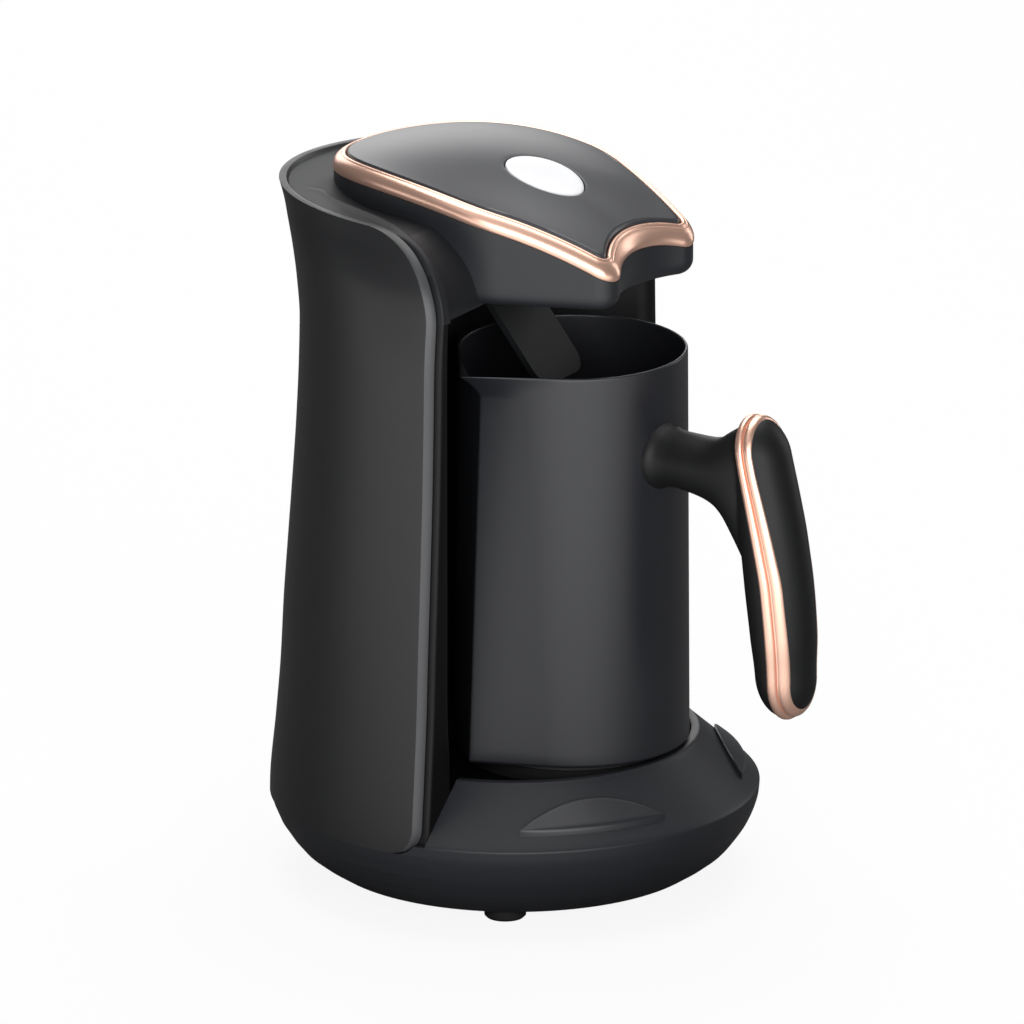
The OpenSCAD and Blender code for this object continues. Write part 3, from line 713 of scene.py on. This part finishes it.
def build_front_cover():
    """The base's front half: bowl, crisp widest line, sloping deck and its inner lip."""
    outer = bowl_side(PAN_SPLIT, CREASE_Z - 0.5, 24)
    crease = [
        (BASE_R - 0.02, CREASE_Z - 0.2), (BASE_R - 0.1, CREASE_Z + 0.12), (BASE_R - 0.3, CREASE_Z + 0.42)]
    deck = [(r, deck_z(r)) for r in spread(BASE_R - 0.8, DECK_TOP_R + 1.2, 14)]
    lip = [(DECK_TOP_R + 0.7, DECK_Z - 0.34), (DECK_TOP_R + 0.2, DECK_Z - 0.06), (DECK_TOP_R - 0.4, DECK_Z)]
    hole = DECK_TOP_R - DECK_WALL
    inside = [(hole + 0.5, DECK_Z), (hole + 0.12, DECK_Z - 0.15), (hole, DECK_Z - 0.6), (hole, 42.0)]
    under = [
        (BASE_R - 3.6, CREASE_Z), (BASE_R - 3.2, CREASE_Z - 3), (BASE_R - 6, CREASE_Z - 11.5),
        (BASE_R - 12, PAN_SPLIT)]
    rows = []
    for r, z in outer + crease + deck + lip + inside + under:
        reach = acos(COLUMN_FRONT / r)
        rows.append(from_axis([(r * sin(a), -r * cos(a), z) for a in spread(-reach, reach, 160)]))
    rows.append(rows[0])
    points, faces = rows_to_skin(rows, closed=False)
    n = len(rows[0])
    faces.append(tuple(j * n for j in range(len(rows) - 1)))
    faces.append(tuple(j * n + n - 1 for j in reversed(range(len(rows) - 1))))
    obj = new_piece("base_cover", points, faces, sharp=24)
    return finish_piece(obj, "base_front_cover")


PAD_TURN = radians(38.5)
PAD_OUTER = 77.8
PAD_REACH, PAD_ARC = 136.6, 68.2
PAD_THICK, PAD_MIDDLE_R, PAD_LEAN = 1.425, 67.25, 0.075
PAD_SUNK = -0.6


def build_pad(name, node, side):
    """A lens-shaped pad on the deck: flush at its upper arc, a soft ledge along its lower edge."""
    tip = acos((PAD_OUTER ** 2 + PAD_REACH ** 2 - PAD_ARC ** 2) / (2 * PAD_OUTER * PAD_REACH))

    def point(angle, share, drop, below=None):
        inner = PAD_REACH * cos(angle) - sqrt(max(0.0, PAD_ARC ** 2 - (PAD_REACH * sin(angle)) ** 2))
        r = min(inner, PAD_OUTER) + (PAD_OUTER - min(inner, PAD_OUTER)) * share
        top = deck_z(r) + PAD_THICK + PAD_LEAN * (r - PAD_MIDDLE_R)
        z = deck_z(r) + below if below is not None else top - drop
        a = angle + side * PAD_TURN
        return (r * sin(a), -r * cos(a), z)

    angles = [tip * sin(a) for a in spread(-pi / 2, pi / 2, 90)]
    profile = [(0, 0, PAD_SUNK), (0, 1.2, None), (0, 0.5, None), (0.02, 0.22, None), (0.06, 0.05, None)]
    profile += [(v, 0, None) for v in spread(0.12, 0.86, 10)]
    profile += [(0.91, 0.04, None), (0.955, 0.2, None), (0.985, 0.5, None), (1, 0.95, None), (1, 0, PAD_SUNK)]
    rows = [from_axis([point(a, v, drop, below) for a in angles]) for v, drop, below in profile]
    points, faces = rows_to_skin(rows + rows[:1], closed=False)
    return finish_piece(new_piece(name, points, faces, sharp=50), node)


# ---------------------------------------------------------------- the pot
POT_H = 135.5
POT_R = 38.6
POT_FOOT_R = 39.5
POT_WALL = 1.2
POT_TURN = 6.0
SPOUT_ANGLE = 99.5
LIP_H = 9.0
PROW = [(0, 47.6), (POT_H - LIP_H, 42.2)]
PROW_LIP = 52.0
PROW_SOFT = 0.3
POT_ROUND = 1.3


def prow_r(z):
    if z < POT_H - LIP_H:
        return PROW[0][1] + (PROW[1][1] - PROW[0][1]) * z / (POT_H - LIP_H)
    return PROW[1][1] + (PROW_LIP - PROW[1][1]) * ((z - POT_H + LIP_H) / LIP_H) ** 1.4


def pot_skin_r(angle, z):
    r = POT_FOOT_R + (POT_R - POT_FOOT_R) * z / POT_H
    touch = degrees(acos(r / prow_r(z)))
    off = abs((angle + 90 + SPOUT_ANGLE + 540) % 360 - 180)
    off = sqrt(off * off + PROW_SOFT * PROW_SOFT)
    return r / cos(radians(max(0.0, touch - off)))


def to_pot(point):
    """From the pot's own frame (handle to -Y, bottom at zero) to the row's frame."""
    x, y, z = point
    t = radians(-POT_TURN)
    return (x * cos(t) - y * sin(t), POT_Y + x * sin(t) + y * cos(t), POT_Z + z)


def build_pot():
    foot = POT_ROUND
    spout = -90 - SPOUT_ANGLE
    half_turn = spread(0, 1.5, 8)[:-1] + spread(1.5, 9, 9)[:-1] + spread(9, 180, 115)
    offsets = [-d for d in half_turn[:0:-1]] + half_turn[:-1]
    angles = [spout + d for d in offsets]

    def ring(z, inset):
        return [to_pot((
            (pot_skin_r(a, max(z, 0)) - inset) * cos(radians(a)),
            (pot_skin_r(a, max(z, 0)) - inset) * sin(radians(a)), z)) for a in angles]

    rows = [ring(0, foot + 4), ring(0, foot)]
    rows += [ring(foot * (1 - cos(a)), foot * (1 - sin(a))) for a in spread(0.2, pi / 2, 6)]
    rows += [ring(z, 0) for z in spread(foot + 4, POT_H - LIP_H, 18)]
    rows += [ring(z, 0) for z in spread(POT_H - LIP_H + 0.8, POT_H - 0.5, 14)]
    half = POT_WALL / 2
    rows += [ring(POT_H - half + half * sin(a), half - half * cos(a)) for a in spread(0.3, pi - 0.3, 7)]
    rows += [ring(z, POT_WALL) for z in spread(POT_H - 0.8, POT_H - LIP_H, 12)]
    rows += [ring(z, POT_WALL) for z in spread(POT_H - LIP_H - 5, 8, 12)]
    rows += [ring(2.6 + 3 * (1 - sin(a)), POT_WALL + 3 * (1 - cos(a))) for a in spread(0.2, pi / 2, 6)]
    points, faces = rows_to_skin(rows, cap_first=True, cap_last=True)
    return finish_piece(new_piece("pot_shell", points, faces, sharp=40), "pot_body")


# ---------------------------------------------------------------- the lid
NOSE_W = 48.0
NOSE_Y = -46.5
NOSE_R = 7.5
SCALLOP = 6.5
SIDE_ANGLE = radians(-20)
HEAD_HALF = 44.8
HEAD_BACK = 66.0
HEAD_ROUND, HEAD_INSET, HEAD_OVERLAP = 5.0, 0.3, 0.2
WIDEST_Y = -3.8
LID_ARC = 170.0
CREST_Y = 31.0
CREST_Z = CREASE_Z + 210.4
RING_W = 4.6
PLATE_HIGH = 6.1
PLATE_LOW = 3.6
PLATE_CROWN = 2.3
PLATE_MID = Vector((0, 4))
BUTTON_Y = -11.5
BUTTON_W, BUTTON_D = 24.0, 27.0
BUTTON_GAP = 0.45


def lid_z(y):
    return CREST_Z - LID_ARC + sqrt(LID_ARC ** 2 - (y - CREST_Y) ** 2)


def arc(centre, radius, start, end, count):
    x, y = centre
    return [Vector((x + radius * cos(a), y + radius * sin(a))) for a in spread(start, end, count)]


def outline(inset):
    """The head's plan outline shrunk by an inset, from the scallop round to the back and home."""
    side = NOSE_W / 2 * cos(SIDE_ANGLE) + NOSE_Y * sin(SIDE_ANGLE) + NOSE_R
    shoulder_r = (side - HEAD_HALF * cos(SIDE_ANGLE) - WIDEST_Y * sin(SIDE_ANGLE)) / (1 - cos(SIDE_ANGLE))
    gap = NOSE_R - SCALLOP
    scallop_r = ((NOSE_W / 2) ** 2 + gap ** 2 - NOSE_R ** 2) / (2 * (NOSE_R - gap))
    scallop_y = NOSE_Y - gap - scallop_r
    turn = atan2(NOSE_W / 2, NOSE_Y - scallop_y)
    shoulder = (HEAD_HALF - shoulder_r, WIDEST_Y)
    nose = arc((NOSE_W / 2, NOSE_Y), NOSE_R - inset, -pi / 2 - turn, SIDE_ANGLE, 26)
    bend = arc(shoulder, shoulder_r - inset, SIDE_ANGLE, 0, 14)
    side_points = [nose[-1].lerp(bend[0], s) for s in spread(0, 1, 26)[1:-1]]
    oval = [
        Vector(((HEAD_HALF - inset) * cos(a), WIDEST_Y + (HEAD_BACK - WIDEST_Y - inset) * sin(a)))
        for a in spread(0, pi / 2, 56)[1:]
    ]
    half = arc((0, scallop_y), scallop_r + inset, pi / 2, pi / 2 - turn, 22)[:-1]
    half += nose + side_points + bend + oval
    return half + [Vector((-p.x, p.y)) for p in half[-2:0:-1]]


def lid_row(inset, rise):
    """The head's outline at an inset, laid on the arched lid line and raised."""
    return from_axis([(p.x, p.y, lid_z(p.y) + rise) for p in outline(inset)])


def hoop(section):
    """A closed hoop: (inset, rise) points carried round the head's outline."""
    return ring_skin([lid_row(inset, rise) for inset, rise in section])


def smooth_section(knots, per_span=5):
    """A rounded profile through knots, as a Catmull-Rom curve."""
    out = []
    for i in range(len(knots) - 1):
        p0, p1 = Vector(knots[max(0, i - 1)]), Vector(knots[i])
        p2, p3 = Vector(knots[i + 1]), Vector(knots[min(len(knots) - 1, i + 2)])
        for s in spread(0, 1, per_span + 1)[:-1]:
            out.append((
                p1 * 2 + (p2 - p0) * s + (p0 * 2 - p1 * 5 + p2 * 4 - p3) * s * s
                + (p1 * 3 - p0 - p2 * 3 + p3) * s ** 3) / 2)
    return [(p.x, p.y) for p in out] + [tuple(knots[-1])]


def build_lid_ring():
    """The sloping band, a fine groove, and the upper bead next to the plate."""
    band = [(1.1, 0.02), (0.4, 0.3), (0.06, 1.1), (0, 2.2), (0.3, 3.4), (1, 4.5), (1.8, 5.15), (2.3, 5.4)]
    groove = [(2.3, 5.4), (2.5, 5.32), (2.7, 5.42)]
    bead = [(2.7, 5.42), (3, 5.72), (3.4, 5.85), (3.9, 5.7), (4.3, 5.3), (4.55, 4.7)]
    profile = smooth_section(band) + smooth_section(groove)[1:] + smooth_section(bead)[1:]
    points, faces = hoop(profile + [(RING_W, 3.0), (RING_W, 0.02)])
    return finish_piece(new_piece("rose_ring", points, faces, sharp=60), "lid_ring")


def reach_of(loop):
    """The distance from the plate's middle to a loop, by direction."""
    polar = sorted((atan2((p - PLATE_MID).y, (p - PLATE_MID).x), (p - PLATE_MID).length) for p in loop)
    polar = [(polar[-1][0] - 2 * pi, polar[-1][1])] + polar + [(polar[0][0] + 2 * pi, polar[0][1])]

    def reach(direction):
        for (a, r), (b, q) in zip(polar, polar[1:]):
            if a <= direction <= b:
                return r + (q - r) * (direction - a) / max(1e-9, b - a)
    return reach


PLATE_EDGE = outline(RING_W + 0.9)
PLATE_REACH = reach_of(PLATE_EDGE)


def plate_z(x, y):
    away = Vector((x, y)) - PLATE_MID
    turn = atan2(away.y, away.x)
    around = [(turn + 0.08 * i + pi) % (2 * pi) - pi for i in range(-4, 5)]
    share = min(1.0, away.length / (sum(PLATE_REACH(a) for a in around) / len(around)))
    return lid_z(y) + PLATE_HIGH + PLATE_CROWN * (1 - share ** 2) ** 1.5


def oval_towards(loop, width, depth):
    """The oval's points that lie in the same directions as a loop's, seen from the button."""
    out = []
    for p in loop:
        d = p - Vector((0, BUTTON_Y))
        r = 1 / hypot(d.x / (width / 2), d.y / (depth / 2))
        out.append(Vector((0, BUTTON_Y)) + d * r)
    return out


def build_top_plate():
    edge = [(0.35, PLATE_LOW), (0.35, PLATE_HIGH - 1), (0.42, PLATE_HIGH - 0.6), (0.62, PLATE_HIGH - 0.2)]
    rows = [lid_row(RING_W + inset, rise) for inset, rise in edge]
    hole = oval_towards(PLATE_EDGE, BUTTON_W + 2 * BUTTON_GAP, BUTTON_D + 2 * BUTTON_GAP)
    for s in [0, 0.04, 0.1, 0.2, 0.32, 0.45, 0.58, 0.7, 0.81, 0.9, 0.96, 0.985]:
        loop = [p.lerp(q, s) for p, q in zip(PLATE_EDGE, hole)]
        rows.append(from_axis([(p.x, p.y, plate_z(p.x, p.y)) for p in loop]))
    for drop in (0.15, 0.6, 3.0):
        rows.append(from_axis([(p.x, p.y, plate_z(p.x, p.y) - drop) for p in hole]))
    points, faces = ring_skin(rows)
    return finish_piece(new_piece("top_plate", points, faces, sharp=32), "lid_top_plate")


def build_button():
    """The silvery oval button: rounded edge and a slight crown, following the plate."""
    def row(share, drop):
        loop = [
            Vector((BUTTON_W / 2 * share * cos(a), BUTTON_Y + BUTTON_D / 2 * share * sin(a)))
            for a in spread(0, 2 * pi, 97)[:-1]]
        return from_axis([(p.x, p.y, plate_z(p.x, p.y) + drop) for p in loop])

    rows = [row(1, -6), row(1, -0.5), row(0.99, -0.1), row(0.965, 0.15), row(0.92, 0.26)]
    rows += [row(s, 0.26 + 0.25 * (1 - s * s)) for s in (0.8, 0.6, 0.4, 0.2, 0.05)]
    points, faces = rows_to_skin(rows, cap_first=True, cap_last=True)
    return finish_piece(new_piece("oval_button", points, faces, sharp=50), "power_button")


def build_head():
    """The head's casing: rounded underside, upright sides to the ring, and the probe's pocket."""
    rows = []
    for a in spread(pi / 2, 0, 9):
        loop = outline(HEAD_INSET + HEAD_ROUND * (1 - cos(a)))
        rows.append(from_axis([(p.x, p.y, HEAD_Z + HEAD_ROUND * (1 - sin(a))) for p in loop]))
    side_z = HEAD_Z + HEAD_ROUND
    loop = outline(HEAD_INSET)
    for s in spread(0, 1, 9)[1:]:
        rows.append(from_axis([(p.x, p.y, side_z + (lid_z(p.y) + HEAD_OVERLAP - side_z) * s) for p in loop]))
    points, faces = rows_to_skin(rows, cap_first=True, cap_last=True)
    obj = new_piece("head_case", points, faces, sharp=40)
    cut_box(obj, (-POCKET_X, POCKET_FRONT, HEAD_Z - POCKET_BELOW), (POCKET_X, POCKET_BACK, POCKET_ROOF))
    return finish_piece(obj, "head_housing")


# ---------------------------------------------------------------- the handle
GRIP_LOW = 23.0
GRIP_LEN = 102.0
NECK_Z = 104.4
BAND_W = 5.2
BAND_PROUD = 0.9
LOW_END, HIGH_END = 0.14, 0.12
# (share of the grip's height, distance from the pot's axis, half width, half depth, band's offset outward)
GRIP = [
    (0, 89.4, 10.9, 9.8, 3.4), (0.07, 89.1, 10.9, 9.8, 3.4), (0.14, 88.6, 11.0, 9.8, 3.8),
    (0.28, 87.6, 11.9, 10.8, 4.4), (0.44, 85.8, 12.0, 11.4, 4.4), (0.60, 83.5, 11.8, 11.2, 3.2),
    (0.74, 81.2, 11.2, 10.3, 1.4), (0.85, 79.2, 10.8, 9.3, 0.0), (0.93, 77.6, 10.5, 8.8, -0.4),
    (1, 76.0, 10.2, 8.4, -0.4),
]


def along_grip(z, column):
    return curve_through([(row[0], row[column]) for row in GRIP], (z - GRIP_LOW) / GRIP_LEN)


def grip_half(z, column):
    """Half width (column 2) or half depth (3) of the grip, closing like a round end at each end."""
    t = (z - GRIP_LOW) / GRIP_LEN
    low_end, high_end = max(0.0, LOW_END - t) / LOW_END, max(0.0, t - 1 + HIGH_END) / HIGH_END
    return along_grip(z, column) * sqrt(max(0.0, 1 - low_end ** 2) * max(0.0, 1 - high_end ** 2))


def band_loop(shift, grow, count=220):
    """The grip's outline where a surface at a distance from the band's middle line cuts it."""
    middle_z = GRIP_LOW + GRIP_LEN * 0.47

    def inside(x, z):
        w, d = grip_half(z, 2), grip_half(z, 3)
        depth = shift - along_grip(z, 4)
        return d > abs(depth) and abs(x) < w * sqrt(1 - (depth / d) ** 2)

    loop = []
    for a in spread(0, 2 * pi, count + 1)[:-1]:
        near, far = 0.0, 60.0
        for _ in range(20):
            r = (near + far) / 2
            if inside(r * cos(a), middle_z + r * sin(a)):
                near = r
            else:
                far = r
        loop.append(Vector((near * cos(a), middle_z + near * sin(a))))
    row = []
    for i, p in enumerate(loop):
        along = loop[(i + 1) % count] - loop[i - 1]
        p = p + Vector((along.y, -along.x)).normalized() * grow
        row.append(to_pot((p.x, shift - along_grip(p.y, 1) - along_grip(p.y, 4), p.y)))
    return row


def build_band():
    """The rose gold hoop round the grip: two soft beads with a groove between them."""
    half = BAND_W / 2 + BAND_PROUD
    bead = [(half, -0.6), (half, 0.05), (half - 0.25, 0.42), (half - 0.9, 0.66), (half - 1.7, 0.66),
            (1.0, 0.45), (0.55, 0.1), (0.4, -0.8)]
    profile = [(-v, grow) for v, grow in bead] + bead[::-1] + [(v, -2.6) for v in (half, 0, -half)]
    points, faces = ring_skin([band_loop(v, grow) for v, grow in profile])
    return finish_piece(new_piece("grip_band", points, faces, sharp=50), "handle_ring")


def build_insert():
    """The padded outer face of the grip, closing in a soft crown."""
    def room(z):
        return grip_half(z, 3) - along_grip(z, 4) - BAND_W / 2

    def limit(inside, outside):
        for _ in range(30):
            z = (inside + outside) / 2
            inside, outside = (z, outside) if room(z) > 0 else (inside, z)
        return inside

    middle_z = GRIP_LOW + GRIP_LEN / 2
    first, last = limit(middle_z, GRIP_LOW), limit(middle_z, GRIP_LOW + GRIP_LEN)
    rows = []
    for a in spread(0.03, pi - 0.03, 90):
        z = first + (last - first) * (1 - cos(a)) / 2
        w, d, line = grip_half(z, 2), grip_half(z, 3), along_grip(z, 1)
        start = asin(-(d - room(z)) / d)
        outer = [(w * cos(t), d * sin(t) - line) for t in spread(start, -pi - start, 41)]
        back = [(w * 0.8 * cos(start) * s, d * sin(start) - line + 1.5) for s in spread(-1, 1, 9)]
        rows.append([to_pot((x, y, z)) for x, y in outer + back])
    points, faces = rows_to_skin(rows, cap_first=True, cap_last=True)
    return finish_piece(new_piece("grip_insert", points, faces, sharp=55), "handle_insert")


# (distance from the pot's axis, half width, reach upward, reach downward)
NECK = [
    (POT_R - 4, 11.7, 11.7, 11.7), (POT_R + 0.4, 11.4, 11.4, 11.4), (POT_R + 1.8, 10.3, 10.3, 10.3),
    (POT_R + 7, 9.6, 9.6, 9.8), (POT_R + 14, 9.6, 9.6, 10.6), (POT_R + 18, 9.6, 9.7, 11.4),
    (POT_R + 23, 9.7, 10.6, 13.4), (POT_R + 27, 9.8, 13.2, 17.2), (POT_R + 30, 9.8, 15.2, 22.2),
    (POT_R + 34, 9.6, 17.2, 29.6), (POT_R + 38, 8.6, 18.2, 37.6),
]


def build_core():
    """The grip's inner half and the neck, moulded as one."""
    levels = [GRIP_LOW + GRIP_LEN * (1 - cos(a)) / 2 for a in spread(0.06, pi - 0.06, 70)]
    turn = spread(0, 2 * pi, 65)[:-1]
    rows = [
        [(grip_half(z, 2) * cos(a), grip_half(z, 3) * sin(a) - along_grip(z, 1), z) for a in turn]
        for z in levels]
    points, faces = rows_to_skin(rows, cap_first=True, cap_last=True)
    reaches = spread(NECK[0][0], NECK[-1][0], 40)
    neck_rows = []
    for r in reaches:
        wide, up, down = (curve_through([(row[0], row[k]) for row in NECK], r) for k in (1, 2, 3))
        neck_rows.append([(wide * cos(a), -r, NECK_Z + (up if sin(a) > 0 else down) * sin(a)) for a in turn])
    more, neck_faces = rows_to_skin(neck_rows, cap_first=True, cap_last=True)
    shift = len(points)
    points += more
    faces += [tuple(shift + i for i in f) for f in neck_faces]
    obj = new_piece("grip_core", points, faces)
    apply_modifier(obj, "REMESH", mode="VOXEL", voxel_size=0.7 * MM)
    apply_modifier(obj, "SMOOTH", factor=0.5, iterations=6)
    bm = bmesh.new()
    bm.from_mesh(obj.data)
    for v in bm.verts:
        v.co.y += (along_grip(v.co.z / MM, 1) + along_grip(v.co.z / MM, 4)) * MM
    everything = bm.verts[:] + bm.edges[:] + bm.faces[:]
    made = bmesh.ops.bisect_plane(
        bm, geom=everything, plane_co=(0, BAND_W / 2 * MM, 0), plane_no=(0, -1, 0), clear_outer=True)
    edges = [g for g in made["geom_cut"] if isinstance(g, bmesh.types.BMEdge)]
    bmesh.ops.contextual_create(bm, geom=edges)
    for v in bm.verts:
        x, y, z = v.co / MM
        y -= along_grip(z, 1) + along_grip(z, 4)
        inner = pot_skin_r(degrees(atan2(y, x)), z) - 0.4
        if hypot(x, y) < inner:
            x, y = x * inner / hypot(x, y), y * inner / hypot(x, y)
        v.co = Vector(to_pot((x, y, z))) * MM
    bm.to_mesh(obj.data)
    bm.free()
    smooth(obj, 50)
    return finish_piece(obj, "handle_core")


# ---------------------------------------------------------------- the stage
FLOOR_HALF = 40000.0
FLOOR_WHITE, FLOOR_DIM = 0.86, 0.12
FLOOR_SHOWN = 0.9
CARD_X, CARD_Y = -0.94, -0.34
CARD_START, CARD_FULL = 0.04, 0.34
CARD_STRENGTH = 1.35
WORLD_DIM = 0.06
# (name, azimuth, elevation, distance, width, power, height)
LAMPS = [
    ("front_panel", -53, 13, 1500, 1900, 21.5, 900),
    ("ring_card", -90, 62, 1500, 1300, 3.0, 1300),
    ("top_back", 121, 72, 1300, 1300, 18.0, 1300),
    ("back_panel", 128, 14, 1600, 1300, 6.0, 700),
    ("right_strip", 66, 12, 1500, 300, 2.4, 900),
]


def build_stage():
    """A pale floor. Away from the camera's own rays it glows on the left, like a white card lying there."""
    h = FLOOR_HALF
    floor = new_piece("floor", [(-h, -h, 0), (h, -h, 0), (h, h, 0), (-h, h, 0)], [(0, 1, 2, 3)])
    white = Finish("floor_white", (FLOOR_WHITE,) * 3, 0.9, specular=0.1)
    camera_ray = white.add("ShaderNodeLightPath", output="Is Camera Ray")
    x, y = (white.add("ShaderNodeSeparateXYZ", {}, white.place, output=axis) for axis in "XY")
    card = white.add(
        "ShaderNodeMapRange", {"interpolation_type": "SMOOTHSTEP"}, CARD_X * x + CARD_Y * y,
        From_Min=CARD_START, From_Max=CARD_FULL)
    white.put("Base Color", white.mix(camera_ray, (FLOOR_DIM,) * 3, (FLOOR_WHITE,) * 3))
    shown = Value(white, white.surface.outputs[0])
    for share, strength in ((card * (1.0 - camera_ray), CARD_STRENGTH), (camera_ray * FLOOR_SHOWN, 1.0)):
        glow = white.add("ShaderNodeEmission", {}, Strength=strength)
        shown = white.add("ShaderNodeMixShader", {}, share, shown, glow)
    white.show(shown)
    floor.data.materials.append(white.material)


def build_world():
    """White to the camera's own rays, and dim to all others."""
    world = bpy.data.worlds.new("studio")
    bpy.context.scene.world = world
    world.use_nodes = True
    sky = Nodes(world.node_tree)
    dim = sky.add("ShaderNodeBackground", {}, (1, 1, 1, 1), WORLD_DIM)
    white = sky.add("ShaderNodeBackground", {}, (1, 1, 1, 1), 1.0)
    camera_ray = sky.add("ShaderNodeLightPath", output="Is Camera Ray")
    sky.show(sky.add("ShaderNodeMixShader", {}, camera_ray, dim, white), "World Output")


# ---------------------------------------------------------------- build everything
make_camera()
build_world()
for lamp in LAMPS:
    area_light(*lamp)
build_stage()

for node, obj in frame["nodes"].items():
    dress(obj, SLOT_OF[node])
    smooth(obj, 30)

build_front_cover()
build_pad("crescent_left", "pad_left", -1)
build_pad("crescent_right", "pad_right", 1)
build_outer_shell()
build_column()
build_head()
build_lid_ring()
build_top_plate()
build_button()
build_pot()
build_band()
build_insert()
build_core()

view = bpy.context.scene.view_settings
view.view_transform = "Standard"
